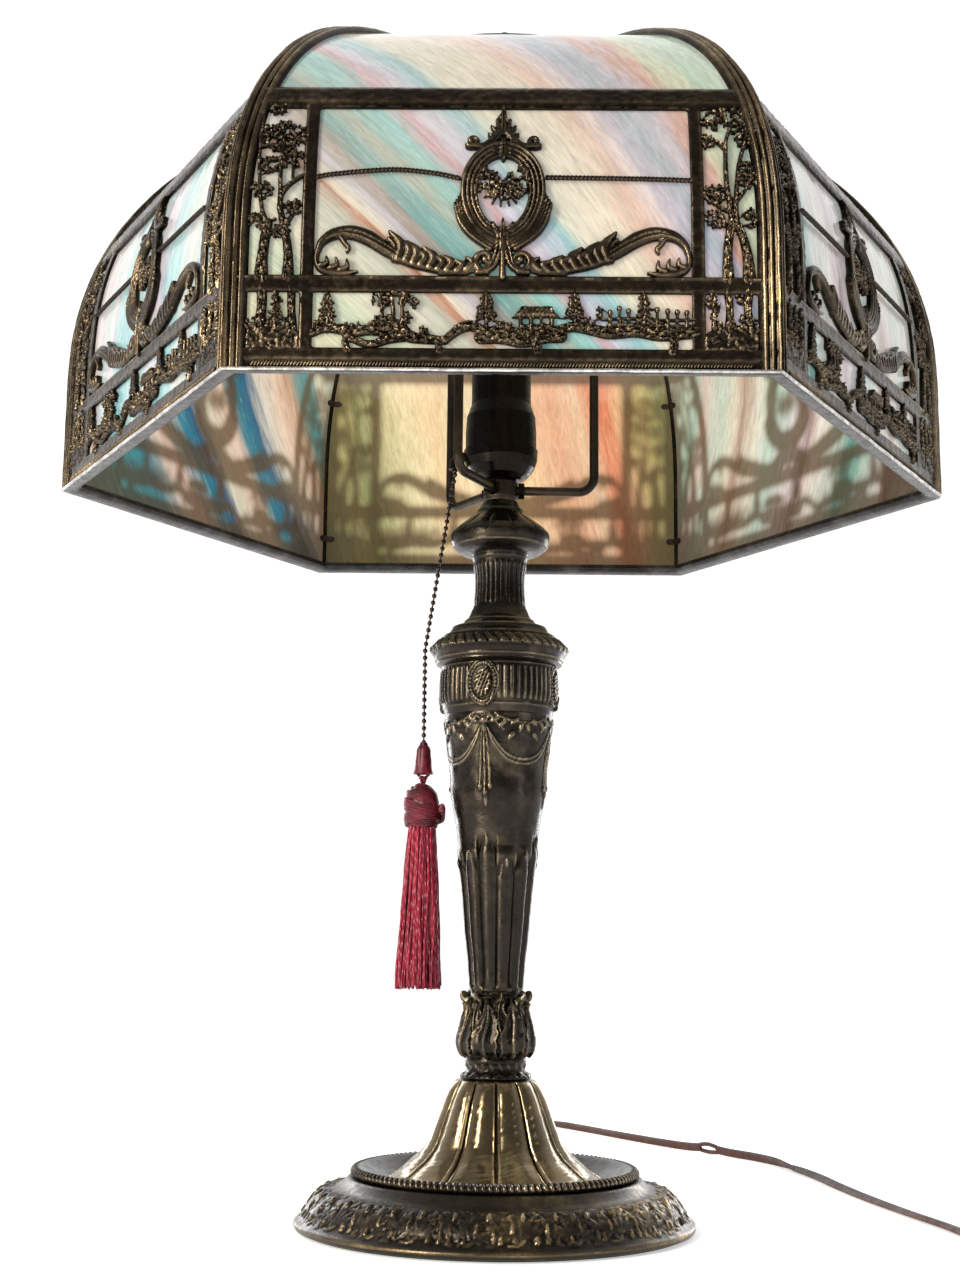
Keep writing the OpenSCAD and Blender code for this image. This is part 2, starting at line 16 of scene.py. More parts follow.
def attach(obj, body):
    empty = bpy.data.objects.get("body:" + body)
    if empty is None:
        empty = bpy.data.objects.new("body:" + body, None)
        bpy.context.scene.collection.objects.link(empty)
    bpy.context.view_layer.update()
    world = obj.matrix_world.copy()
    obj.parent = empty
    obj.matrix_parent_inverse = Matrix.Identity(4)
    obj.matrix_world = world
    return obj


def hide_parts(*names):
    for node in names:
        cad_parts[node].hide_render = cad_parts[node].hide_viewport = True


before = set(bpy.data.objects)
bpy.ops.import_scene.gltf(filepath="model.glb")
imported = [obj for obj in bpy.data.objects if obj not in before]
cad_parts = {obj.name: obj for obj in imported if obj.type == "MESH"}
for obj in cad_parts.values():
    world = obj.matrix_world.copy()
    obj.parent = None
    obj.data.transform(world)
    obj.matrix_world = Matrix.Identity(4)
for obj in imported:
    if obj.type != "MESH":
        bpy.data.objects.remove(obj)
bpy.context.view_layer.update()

MM = 0.001
TAU = 2 * math.pi
PANELS = range(1, 7)


# ---- meshes ----

def make_mesh(name, points, faces, sharp=None, values=None):
    """A mesh from points in millimetres and arrays of triangles or quads."""
    points = np.asarray(points, float)
    mesh = bpy.data.meshes.new(name)
    loops = np.concatenate([np.asarray(f).ravel() for f in faces]).astype(np.int32)
    sizes = np.concatenate([np.full(len(f), np.asarray(f).shape[1]) for f in faces])
    starts = np.concatenate([[0], np.cumsum(sizes)[:-1]]).astype(np.int32)
    mesh.vertices.add(len(points))
    mesh.vertices.foreach_set("co", (points * MM).ravel())
    mesh.loops.add(len(loops))
    mesh.loops.foreach_set("vertex_index", loops)
    mesh.polygons.add(len(sizes))
    mesh.polygons.foreach_set("loop_start", starts)
    mesh.polygons.foreach_set("use_smooth", np.ones(len(sizes), bool))
    mesh.update(calc_edges=True)
    mesh.validate()
    if sharp is not None:
        mesh.set_sharp_from_angle(angle=math.radians(sharp))
    for label, data in (values or {}).items():
        layer = mesh.attributes.new(label, "FLOAT", "POINT")
        layer.data.foreach_set("value", np.asarray(data, np.float32).ravel())
    return mesh


def place(name, mesh, body, material, replaces=(), turn=0.0):
    """An object for the mesh, on its body, standing for its CAD nodes."""
    obj = bpy.data.objects.new(name, mesh)
    bpy.context.scene.collection.objects.link(obj)
    if material is not None and not mesh.materials:
        mesh.materials.append(material)
    obj.rotation_euler[2] = turn
    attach(obj, body)
    if replaces:
        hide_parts(*replaces)
    return obj


def grid_faces(rows, cols, closed=False, flip=False, start=0):
    """Quads of a grid of points laid out row by row; closed joins the last column to the first."""
    i, j = np.meshgrid(np.arange(rows - 1), np.arange(cols if closed else cols - 1), indexing="ij")
    a = start + i * cols + j
    b = start + i * cols + (j + 1) % cols
    quads = np.stack([a, b, b + cols, a + cols], -1).reshape(-1, 4)
    return quads[:, ::-1] if flip else quads


def fan(ring, centre, flip=False):
    """Triangles from a ring of point numbers to one point."""
    ring = np.asarray(ring)
    tris = np.stack([ring, np.roll(ring, -1), np.full(len(ring), centre)], -1)
    return tris[:, ::-1] if flip else tris


def capped(rows, cols, flip=False):
    """Faces of a closed tube laid out ring by ring, then one point for each of its ends."""
    n = rows * cols
    return [grid_faces(rows, cols, closed=True, flip=flip), fan(np.arange(cols), n, flip=not flip),
            fan(np.arange(n - cols, n), n + 1, flip=flip)]


class Heap:
    """Collects many small meshes into one."""

    def __init__(self):
        self.points = []
        self.faces = {3: [], 4: []}
        self.count = 0

    def add(self, points, faces):
        points = np.asarray(points, float)
        for f in faces:
            f = np.asarray(f)
            self.faces[f.shape[1]].append(f + self.count)
        self.points.append(points)
        self.count += len(points)

    def mesh(self, name, sharp=None, values=None):
        faces = [np.concatenate(f) for f in self.faces.values() if f]
        return make_mesh(name, np.concatenate(self.points), faces, sharp, values)


def curve(points, count):
    """A smooth line of count points through the given ones."""
    p = np.asarray(points, float)
    p = np.vstack([2 * p[0] - p[1], p, 2 * p[-1] - p[-2]])
    s = np.linspace(0, len(p) - 3 - 1e-9, count)
    i = s.astype(int)
    t = (s - i)[:, None]
    a, b, c, d = p[i], p[i + 1], p[i + 2], p[i + 3]
    return 0.5 * (2 * b + (c - a) * t + (2 * a - 5 * b + 4 * c - d) * t * t
                  + (3 * b - a - 3 * c + d) * t ** 3)


def even(points, step):
    """The same line with points at even distances of about step."""
    p = np.asarray(points, float)
    length = np.concatenate([[0], np.cumsum(np.linalg.norm(np.diff(p, axis=0), axis=1))])
    s = np.linspace(0, length[-1], max(2, int(round(length[-1] / step)) + 1))
    return np.stack([np.interp(s, length, p[:, k]) for k in range(p.shape[1])], -1)


def frames(path, up=(0, 0, 1)):
    """Direction, side and upper side at each point of a path; the side stays level."""
    d = np.gradient(path, axis=0)
    d /= np.linalg.norm(d, axis=1)[:, None]
    side = np.cross(d, up)
    side /= np.linalg.norm(side, axis=1)[:, None]
    return d, side, np.cross(side, d)


def swept(path, section, up=(0, 0, 1), twist=None, scale=None):
    """Points and faces of a closed section, given as side and height, drawn along a path."""
    path = np.asarray(path, float)
    _, side, top = frames(path, up)
    section = np.asarray(section, float)
    n, m = len(path), len(section)
    turn = np.zeros(n) if twist is None else np.asarray(twist)
    grow = np.ones(n) if scale is None else np.asarray(scale)
    c, s = np.cos(turn)[:, None], np.sin(turn)[:, None]
    x = (section[None, :, 0] * c - section[None, :, 1] * s) * grow[:, None]
    y = (section[None, :, 0] * s + section[None, :, 1] * c) * grow[:, None]
    points = path[:, None] + x[..., None] * side[:, None] + y[..., None] * top[:, None]
    points = np.vstack([points.reshape(-1, 3), path[:1], path[-1:]])
    return points, capped(n, m, flip=True)


def round_section(radius, sides):
    a = np.arange(sides) * TAU / sides
    return np.stack([np.cos(a), np.sin(a)], -1) * radius


def lattice(x, z, cell, seed=0):
    """Smooth noise from -1 to 1 over two coordinates."""
    table = np.random.default_rng(seed).uniform(-1, 1, (64, 64))
    x, z = np.asarray(x) / cell, np.asarray(z) / cell
    i, j = np.floor(x).astype(int), np.floor(z).astype(int)
    u, v = x - i, z - j
    u, v = u * u * (3 - 2 * u), v * v * (3 - 2 * v)
    at = lambda a, b: table[a % 64, b % 64]
    low = at(i, j) * (1 - u) + at(i + 1, j) * u
    high = at(i, j + 1) * (1 - u) + at(i + 1, j + 1) * u
    return low * (1 - v) + high * v


def step(low, high, x):
    """A smooth rise from 0 at low to 1 at high; low may be the larger."""
    t = np.clip((x - low) / (high - low), 0, 1)
    return t * t * (3 - 2 * t)


# ---- relief drawn shape by shape over a flat sheet of points ----

class Relief:
    """Height of cast work over points given by two coordinates, and how far each is inside it."""

    def __init__(self, x, z):
        self.shape = np.shape(x)
        self.x, self.z = np.ravel(x).astype(float), np.ravel(z).astype(float)
        self.inside = np.full(self.x.size, -9.0)
        self.height = np.zeros(self.x.size)

    def window(self, points, reach):
        p = np.atleast_2d(points)
        low, high = p.min(0) - reach, p.max(0) + reach
        near = (self.x > low[0]) & (self.x < high[0]) & (self.z > low[1]) & (self.z < high[1])
        return np.flatnonzero(near)

    def put(self, where, dist, height):
        self.inside[where] = np.maximum(self.inside[where], dist)
        self.height[where] = np.where(dist > 0, np.maximum(self.height[where], height),
                                      self.height[where])

    def stroke(self, points, widths, high, grain=0.0, pitch=0.0, smooth=12):
        """A rounded bar along a line. grain roughens it like bark, pitch twists it like rope."""
        line = np.array(points, float)
        if len(points) > 2:
            line = curve(points, smooth * (len(points) - 1) + 1)
        half = np.interp(np.linspace(0, 1, len(line)), np.linspace(0, 1, len(widths)), widths)
        where = self.window(line, half.max() + 1.2)
        x, z = self.x[where], self.z[where]
        best = np.full(len(where), -9.0)
        across, along = np.zeros(len(where)), np.zeros(len(where))
        width = np.ones(len(where))
        walked = 0.0
        for a, b, ha, hb in zip(line[:-1], line[1:], half[:-1], half[1:]):
            d = b - a
            size = max(1e-6, math.hypot(*d))
            t = np.clip(((x - a[0]) * d[0] + (z - a[1]) * d[1]) / size ** 2, 0, 1)
            off = np.hypot(x - a[0] - t * d[0], z - a[1] - t * d[1])
            h = ha + (hb - ha) * t
            better = h - off > best
            best = np.where(better, h - off, best)
            width = np.where(better, h, width)
            along = np.where(better, walked + t * size, along)
            side = ((x - a[0]) * d[1] - (z - a[1]) * d[0]) / size
            across = np.where(better, side, across)
            walked += size
        rise = np.sqrt(np.clip(1 - (1 - np.clip(best / width, 0, 1)) ** 2, 0, 1))
        height = high * (0.42 + 0.58 * rise)
        if grain:
            bark = lattice(across * 2.6, along * 0.5, 0.8, 3) + 0.6 * lattice(across * 5, along, 0.7, 9)
            height = height + grain * 1.5 * bark * rise
        if pitch:
            height = height + 0.3 * np.sin(TAU * (along + across * 0.8) / pitch) * rise
        self.put(where, best, height)

    def blob(self, x, z, radius, high, flat=1.0):
        where = self.window([[x, z]], radius + 1)
        off = np.hypot(self.x[where] - x, (self.z[where] - z) / flat)
        rise = np.sqrt(np.clip(1 - (off / radius) ** 2, 0, 1))
        self.put(where, radius - off, high * (0.4 + 0.6 * rise))

    def leaf(self, x, z, length, width, angle, high):
        """A pointed leaf from its stalk at x, z, with a sunk vein."""
        where = self.window([[x, z]], length + 1)
        c, s = math.cos(angle), math.sin(angle)
        p = ((self.x[where] - x) * c + (self.z[where] - z) * s) / length
        q = -(self.x[where] - x) * s + (self.z[where] - z) * c
        half = width / 2 * np.sqrt(np.clip(np.sin(math.pi * np.clip(p, 0, 1) ** 0.75), 0, 1))
        dist = np.where((p > 0) & (p < 1), half - np.abs(q), -np.hypot(q, np.abs(p - 0.5) * length))
        arch = np.clip(1 - (np.abs(q) / np.maximum(half, 0.05)) ** 2, 0, 1)
        vein = np.exp(-(q / 0.22) ** 2)
        self.put(where, dist, high * (0.5 + 0.5 * arch - 0.22 * vein * (width > 1.3)))

    def bar(self, x0, z0, x1, z1, high, bevel=0.7, dish=0.0):
        """A flat bar with bevelled edges; dish sinks its middle between raised borders."""
        where = self.window([[x0, z0], [x1, z1]], 1.2)
        x, z = self.x[where], self.z[where]
        dist = np.minimum(np.minimum(x - x0, x1 - x), np.minimum(z - z0, z1 - z))
        height = high * (0.55 + 0.45 * np.clip(dist / bevel, 0, 1))
        height = height - dish * step(bevel, bevel + 0.7, dist)
        self.put(where, dist, height)

    def area(self, outline, high, rough=0.5, cell=1.6, seed=1):
        """A filled outline with an uneven, rocky surface."""
        p = np.asarray(outline, float)
        where = self.window(p, 1.2)
        x, z = self.x[where], self.z[where]
        inside = np.zeros(len(where), bool)
        near = np.full(len(where), 9.0)
        for a, b in zip(p, np.roll(p, -1, 0)):
            d = b - a
            t = np.clip(((x - a[0]) * d[0] + (z - a[1]) * d[1]) / max(1e-9, d @ d), 0, 1)
            near = np.minimum(near, np.hypot(x - a[0] - t * d[0], z - a[1] - t * d[1]))
            crosses = (a[1] > z) != (b[1] > z)
            slope = d[0] / (d[1] if abs(d[1]) > 1e-9 else 1e-9)
            inside ^= crosses & (x < a[0] + (z - a[1]) * slope)
        dist = np.where(inside, near, -near) + 0.25 * lattice(x, z, 1.1, seed + 5)
        height = high * (0.5 + 0.5 * np.clip(dist / 1.0, 0, 1)) + rough * lattice(x, z, cell, seed)
        self.put(where, dist, height + rough * 0.6 * lattice(x, z, cell * 0.45, seed + 2))

    def foliage(self, x, z, rx, rz, high, leaves, seed=0, size=1.6):
        """A clump of small overlapping leaves with round buds between them."""
        rng = np.random.default_rng(seed)
        for n in range(int(leaves * 1.25)):
            a, r = rng.uniform(0, TAU), math.sqrt(rng.uniform(0, 1))
            cx, cz = x + rx * r * math.cos(a), z + rz * r * math.sin(a)
            if n % 4 == 0:
                self.blob(cx, cz, size * rng.uniform(0.3, 0.42), high * rng.uniform(0.9, 1.2))
                continue
            lean = math.atan2(cz - z, cx - x) + rng.normal(0, 0.8)
            long = size * rng.uniform(0.75, 1.35)
            self.leaf(cx - 0.4 * long * math.cos(lean), cz - 0.4 * long * math.sin(lean), long,
                      size * rng.uniform(0.55, 0.8), lean, high * rng.uniform(0.55, 1.05))


# ---- materials ----

class Paint:
    """A small builder for one procedural material."""

    def __init__(self, name):
        self.material = bpy.data.materials.new(name)
        self.material.use_nodes = True
        self.tree = self.material.node_tree
        self.surface = self.tree.nodes["Principled BSDF"]
        self.where = self.tree.nodes.new("ShaderNodeTexCoord").outputs["Object"]

    def feed(self, socket, value):
        if isinstance(value, bpy.types.NodeSocket):
            self.tree.links.new(value, socket)
        elif value is not None:
            socket.default_value = value

    def set(self, **values):
        """Sets or links the surface's inputs, spaces written as underscores."""
        for name, value in values.items():
            self.feed(self.surface.inputs[name.replace("_", " ")], value)
        return self

    def node(self, kind, inputs=None, **settings):
        n = self.tree.nodes.new("ShaderNode" + kind)
        for key, value in settings.items():
            setattr(n, key, value)
        for key, value in (inputs or {}).items():
            self.feed(n.inputs[key], value)
        return n

    def noise(self, scale, detail=3.0, rough=0.55, vector=None, twirl=0.0):
        return self.node("TexNoise", {"Vector": vector or self.where, "Scale": scale, "Detail": detail,
                                      "Roughness": rough, "Distortion": twirl}).outputs["Fac"]

    def maths(self, operation, a, b=0.0, clamp=False):
        return self.node("Math", {0: a, 1: b}, operation=operation, use_clamp=clamp).outputs[0]

    def span(self, value, low, high, to_low=0.0, to_high=1.0):
        n = self.node("MapRange", {"Value": value, "From Min": low, "From Max": high,
                                   "To Min": to_low, "To Max": to_high}, interpolation_type="SMOOTHSTEP")
        return n.outputs["Result"]

    def ramp(self, value, stops):
        n = self.node("ValToRGB", {"Fac": value})
        line = n.color_ramp
        while len(line.elements) < len(stops):
            line.elements.new(0.5)
        for e, (at, colour) in zip(line.elements, stops):
            e.position = at
            e.color = (*colour, 1.0)
        return n.outputs["Color"]

    def mix(self, amount, a, b, blend="MIX"):
        n = self.node("Mix", data_type="RGBA", blend_type=blend)
        self.feed(n.inputs["Factor"], amount)
        for socket, value in ((n.inputs[6], a), (n.inputs[7], b)):
            self.feed(socket, (*value, 1.0) if isinstance(value, tuple) else value)
        return n.outputs[2]

    def distance_from(self, point):
        return self.node("VectorMath", {0: self.where, 1: point}, operation="DISTANCE").outputs["Value"]

    def attribute(self, name):
        return self.node("Attribute", attribute_name=name).outputs["Fac"]

    def bump(self, height, distance, strength=1.0):
        n = self.node("Bump", {"Height": height, "Distance": distance, "Strength": strength})
        self.feed(self.surface.inputs["Normal"], n.outputs["Normal"])
        return self


def worn_metal(name, dark, bright, worn=0.5, patches=(0.42, 0.7), shine=0.4, grain=900.0, relief=True,
               dusting=0.25):
    """Dark patina, darker in hollows, rubbed through to brighter metal on raised edges; on the rim the bright
    raised lip is a painted highlight.
    """
    p = Paint(name)
    if relief:
        edge, hollow = p.attribute("raised"), p.attribute("sunk")
    else:
        point = p.node("NewGeometry").outputs["Pointiness"]
        edge, hollow = p.span(point, 0.51, 0.58), p.span(point, 0.49, 0.42)
    broad = p.span(p.noise(11.0, 3.0, 0.6), *patches)
    fine = p.span(p.noise(210.0, 5.0, 0.7), 0.3, 0.72, 0.35, 1.0)
    keep = p.maths("ADD", 0.22, p.maths("MULTIPLY", broad, 0.78))
    lift = p.maths("MULTIPLY", p.maths("MULTIPLY", edge, fine), p.maths("MULTIPLY", keep, worn), clamp=True)
    dust = p.maths("MULTIPLY", broad, p.span(p.noise(60.0, 5.0, 0.7), 0.4, 0.75))
    haze = p.maths("MULTIPLY", dust, dusting * worn)
    amount = p.maths("ADD", lift, haze, clamp=True)
    tone = p.mix(p.span(p.noise(38.0, 4.0), 0.3, 0.75), dark, tuple(c * 1.5 for c in dark))
    sunk = p.mix(p.maths("MULTIPLY", hollow, 0.85), tone, tuple(c * 0.25 for c in dark))
    rough = p.span(p.noise(260.0, 4.0), 0.25, 0.8, shine - 0.1, shine + 0.12)
    p.set(Base_Color=p.mix(amount, sunk, bright), Metallic=0.85, Roughness=rough, Specular_IOR_Level=0.5)
    return p.bump(p.noise(grain, 4.0, 0.65), 0.00018, 0.55).material


def plain_metal(name, colour, rough, scale=380.0):
    """Metal with fine uneven tarnish."""
    p = Paint(name)
    tone = p.mix(p.span(p.noise(scale * 0.12, 5.0), 0.3, 0.72), colour, tuple(c * 0.55 for c in colour))
    p.set(Base_Color=tone, Metallic=0.92,
          Roughness=p.span(p.noise(scale, 4.0), 0.3, 0.75, rough - 0.08, rough + 0.12))
    return p.bump(p.noise(scale * 2.2, 3.0), 0.00012, 0.4).material


# ---- camera and light ----

def make_camera():
    """The picture's viewpoint: low in front, looking slightly up at the shade."""
    data = bpy.data.cameras.new("camera")
    data.lens, data.sensor_width = 49.2, 36.0
    cam = bpy.data.objects.new("camera", data)
    bpy.context.scene.collection.objects.link(cam)
    eye = Vector((0, -0.834, 0.1273))
    yaw, pitch, roll = -0.0112, 0.1725, 0.0105
    forward = Vector((math.sin(yaw) * math.cos(pitch), math.cos(yaw) * math.cos(pitch), math.sin(pitch)))
    right = Vector((math.cos(yaw), -math.sin(yaw), 0))
    up = right.cross(forward)
    side = right * math.cos(roll) + up * math.sin(roll)
    top = up * math.cos(roll) - right * math.sin(roll)
    turn = Matrix((side, top, -forward)).transposed()
    cam.matrix_world = Matrix.Translation(eye) @ turn.to_4x4()
    bpy.context.scene.camera = cam


def area_light(name, at, towards, size, power, colour=(1, 1, 1)):
    data = bpy.data.lights.new(name, "AREA")
    data.shape, data.size, data.size_y = "RECTANGLE", *size
    data.energy, data.color = power, colour
    light = bpy.data.objects.new(name, data)
    bpy.context.scene.collection.objects.link(light)
    light.location = at
    light.rotation_euler = (Vector(towards) - Vector(at)).to_track_quat("-Z", "Y").to_euler()
    return light


def make_world():
    """White behind the lamp and for the camera, dimmer in front of it, so that metal shows its form."""
    world = bpy.data.worlds.new("studio")
    bpy.context.scene.world = world
    world.use_nodes = True
    tree = world.node_tree
    new, link = tree.nodes.new, tree.links.new
    direction = new("ShaderNodeTexCoord")
    split = new("ShaderNodeSeparateXYZ")
    link(direction.outputs["Generated"], split.inputs[0])
    level = new("ShaderNodeMapRange")
    level.inputs["From Min"].default_value, level.inputs["From Max"].default_value = -0.35, 0.45
    level.inputs["To Min"].default_value, level.inputs["To Max"].default_value = 0.15, 1.1
    link(split.outputs["Y"], level.inputs["Value"])
    rays = new("ShaderNodeLightPath")
    strength = new("ShaderNodeMix")
    strength.inputs["B"].default_value = 1.1
    link(rays.outputs["Is Camera Ray"], strength.inputs["Factor"])
    link(level.outputs["Result"], strength.inputs["A"])
    background = tree.nodes["Background"]
    background.inputs["Color"].default_value = (1, 1, 1, 1)
    link(strength.outputs["Result"], background.inputs["Strength"])


def make_stage():
    """A pale floor, warm key and strip lights at the left, a weak fill, and a rim light on each side."""
    mesh = bpy.data.meshes.new("floor")
    reach, below = 12.0, 0.0004
    mesh.from_pydata([(x * reach, y * reach, 0) for x, y in ((-1, -1), (1, -1), (1, 1), (-1, 1))],
                     [], [(0, 1, 2, 3)])
    floor = bpy.data.objects.new("floor", mesh)
    floor.location.z = -below
    bpy.context.scene.collection.objects.link(floor)
    p = Paint("floor")
    p.set(Base_Color=(0.93, 0.93, 0.93, 1.0), Roughness=0.9, Specular_IOR_Level=0.1,
          Emission_Color=(1, 1, 1, 1.0), Emission_Strength=0.45)
    mesh.materials.append(p.material)
    make_world()
    area_light("key", (-1.5, -1.7, 1.2), (0, 0, 0.2), (0.5, 1.3), 46, (1, 0.93, 0.82))
    area_light("strip", (-0.95, -0.95, 0.3), (0, 0, 0.28), (0.2, 0.8), 11, (1, 0.88, 0.7))
    area_light("fill", (1.8, -1.2, 0.5), (0, 0, 0.25), (0.5, 1.2), 5, (0.95, 0.97, 1))
    for side in (-1, 1):
        rim = area_light(f"rim_{side}", (side * 0.8, 1.25, 0.4), (0, 0, 0.25), (0.3, 1.3), 7)
        rim.visible_camera = False
    bpy.context.scene.view_settings.view_transform = "Standard"


make_camera()
make_stage()


# ---- cord: route on the table, then a flat coil of two layers, then the plug ----

CORD_W, CORD_T = 5.2, 2.8
FLOOR_Z = 1.6
EXIT = (0.0, 91.0, 7.0)
ROUTE = [EXIT, (0, 97, 6.8), (0, 104, 4.6), (-2, 114, 2), (-6, 130, FLOOR_Z), (-12, 165, FLOOR_Z),
         (-16, 210, FLOOR_Z), (-17, 260, FLOOR_Z), (-18, 310, FLOOR_Z), (-19, 360, FLOOR_Z),
         (-19, 410, FLOOR_Z), (-16, 442, FLOOR_Z), (-4, 464, FLOOR_Z), (16, 472, FLOOR_Z),
         (35, 462, FLOOR_Z), (50, 440, FLOOR_Z), (66, 412, FLOOR_Z), (86, 375, FLOOR_Z),
         (110, 334, FLOOR_Z), (136, 296, FLOOR_Z), (158, 262, FLOOR_Z), (172, 225, FLOOR_Z),
         (180, 185, FLOOR_Z), (185, 140, FLOOR_Z), (191, 98, FLOOR_Z), (200, 50, FLOOR_Z),
         (209, 8, FLOOR_Z), (213.2, -26, FLOOR_Z), (213.9, -62, FLOOR_Z)]
COIL_AT, COIL_R, LAY = (245.0, -62.0), 28.5, 5.3
COIL_TURNS = 4.5
PLUG_AT = (COIL_AT[0] + COIL_R + LAY / 2, -46.0, 6.6)
SLIT_AT, SLIT_LONG = 0.339, 0.0045      # where the two wires have parted, as shares of the length
ON_EDGE = (0.225, 0.25, 0.372, 0.394)   # where the cord lies twisted onto its edge, likewise


def coil_line():
    """Outer to inner turn on the table, up one layer, inner to outer, and out beside the start."""
    t = np.linspace(0, COIL_TURNS, 280)[1:]
    middle = COIL_TURNS / 2
    inward = step(0.9, 1.2, t) * (1 - step(COIL_TURNS - 1.25, COIL_TURNS - 0.95, t))
    r = COIL_R + LAY / 2 - LAY * inward
    z = FLOOR_Z + 2.8 * step(middle - 0.3, middle + 0.3, t)
    a = math.pi + TAU * t
    return np.stack([COIL_AT[0] + r * np.cos(a), COIL_AT[1] + r * np.sin(a), z], -1)


def on_edge(s):
    """How far the cord is turned onto its edge, by share of its length."""
    return step(ON_EDGE[0], ON_EDGE[1], s) * (1 - step(ON_EDGE[2], ON_EDGE[3], s))


def cord_path():
    """The cord's middle line, at even steps, raised where it lies on its edge and where it is parted."""
    tail = [(PLUG_AT[0] - 0.1, -57, 4.6), (PLUG_AT[0], -52, 5.6), (PLUG_AT[0], PLUG_AT[1] + 1, PLUG_AT[2])]
    line = even(np.vstack([curve(ROUTE, 420), coil_line(), tail]), 3.0)
    s = np.linspace(0, 1, len(line))
    line[:, 2] += 0.95 * on_edge(s) + 1.05 * np.exp(-((s - SLIT_AT) / (1.7 * SLIT_LONG)) ** 2)
    return line


def cord_section():
    """Two round wires side by side with a web between."""
    a = np.linspace(0, math.pi, 9)
    r = CORD_T / 2
    right = np.stack([CORD_W / 2 - r + r * np.sin(a), r * np.cos(a)], -1)
    web = np.array([[0.0, -0.75]])
    return np.vstack([right, web, -right, -web])


def make_cord(material):
    """The flat cord, in two runs with its two single wires between them at the slit."""
    path = cord_path()
    s = np.linspace(0, 1, len(path))
    lean = 0.16 * np.sin(s * 41) * (s < 0.52) + 1.12 * on_edge(s)
    heap = Heap()
    parted = np.exp(-((s - SLIT_AT) / SLIT_LONG) ** 2)
    _, side, top = frames(path)
    wide = side * np.cos(lean)[:, None] + top * np.sin(lean)[:, None]
    first, last = np.flatnonzero(parted > 0.3)[[0, -1]]
    for run in (slice(0, first + 1), slice(last, len(path))):
        heap.add(*swept(path[run], cord_section(), twist=lean[run]))
    slit = slice(first, last + 1)
    gap = (0.5 + 1.15 * (parted[slit] - 0.3) / 0.7)[:, None]
    for half in (-1, 1):
        centre = path[slit] + half * (CORD_W / 4 - 0.1 + gap * 0.8) * wide[slit]
        heap.add(*swept(centre, round_section(1.25, 12)))
    cord = place("cord", heap.mesh("cord", 60), "lamp", material,
                 ("cord_tube", "cord_coil"))
    return cord, path


# ---- the panel's section: distance from the middle and height, by distance along it ----

SHADE_R, RIM_Z, WALL_TOP, BEND_H, BEND_N = 216.0, 345.0, 400.0, 141.0, 2.25
WALL_A = SHADE_R * math.cos(math.pi / 6)
CROWN_A, TOP_A = 50.0, 62.0
SEAT_Z = RIM_Z + 1.2
GLASS_IN, GLASS_T = 3.1, 3.0
OPENWORK_BACK = 2.95
HALF = math.tan(math.pi / 6)


def bend(t):
    return (CROWN_A + (WALL_A - CROWN_A) * np.cos(t) ** (2 / BEND_N),
            WALL_TOP + BEND_H * np.sin(t) ** (2 / BEND_N))


def section_table():
    """Distance along the panel, counted as height on the wall, with place and inward direction."""
    t = math.acos(((TOP_A - CROWN_A) / (WALL_A - CROWN_A)) ** (BEND_N / 2)) * np.linspace(0, 1, 500) ** 1.8
    a, z = bend(t)
    a = np.concatenate([[WALL_A, WALL_A], a])
    z = np.concatenate([[SEAT_Z, 380.0], z])
    w = SEAT_Z + np.concatenate([[0], np.cumsum(np.hypot(np.diff(a), np.diff(z)))])
    da, dz = np.gradient(a, w), np.gradient(z, w)
    size = np.hypot(da, dz)
    return w, a, z, -dz / size, da / size


W, W_A, W_Z, IN_A, IN_Z = section_table()
W_END = W[-1]


def on_panel(u, w, depth):
    """Points of the front panel: u across, w up along it, depth inwards from the posts' face."""
    a = np.interp(w, W, W_A) + depth * np.interp(w, W, IN_A)
    z = np.interp(w, W, W_Z) + depth * np.interp(w, W, IN_Z)
    return np.stack(np.broadcast_arrays(u, -a, z), -1)


def half_width(w, depth=0.0):
    return (np.interp(w, W, W_A) + depth * np.interp(w, W, IN_A)) * HALF


def panel_turn(k):
    return math.pi / 3 * (k - 1)


def mirrored(side, points):
    """The same points, or for side -1 the ones on the panel's other half."""
    return [(side * x, z) for x, z in points]


# ---- the openwork's drawing, on u across and w up ----

POST = 7.2                              # how far a post covers each panel's edge
BAR_HALF = 2.65
UPRIGHT = 76.6
MID = (377.8, 384.6)
BAND_TOP = 355.2
TOP_BAR = (461.4, 473.4)
FIELD_TOP = TOP_BAR[1]


def draw_frame(r):
    r.bar(-110, SEAT_Z - 1, 110, 350.4, 0.9)
    r.bar(-110, 350.0, 110, BAND_TOP, 1.7, 0.6, 0.25)
    r.bar(-110, MID[0], 110, MID[1], 2.0, 0.8, 0.35)
    r.bar(-110, TOP_BAR[0], 110, TOP_BAR[1], 2.5, 2.2)
    for side in (-1, 1):
        x0, x1 = sorted((side * (UPRIGHT - BAR_HALF), side * (UPRIGHT + BAR_HALF)))
        r.bar(x0, BAND_TOP - 1, x1, TOP_BAR[0] + 1, 1.8, 0.7, 0.3)
        e0, e1 = sorted((side * 99.6, side * 110))
        r.bar(e0, SEAT_Z - 1, e1, FIELD_TOP, 1.2)


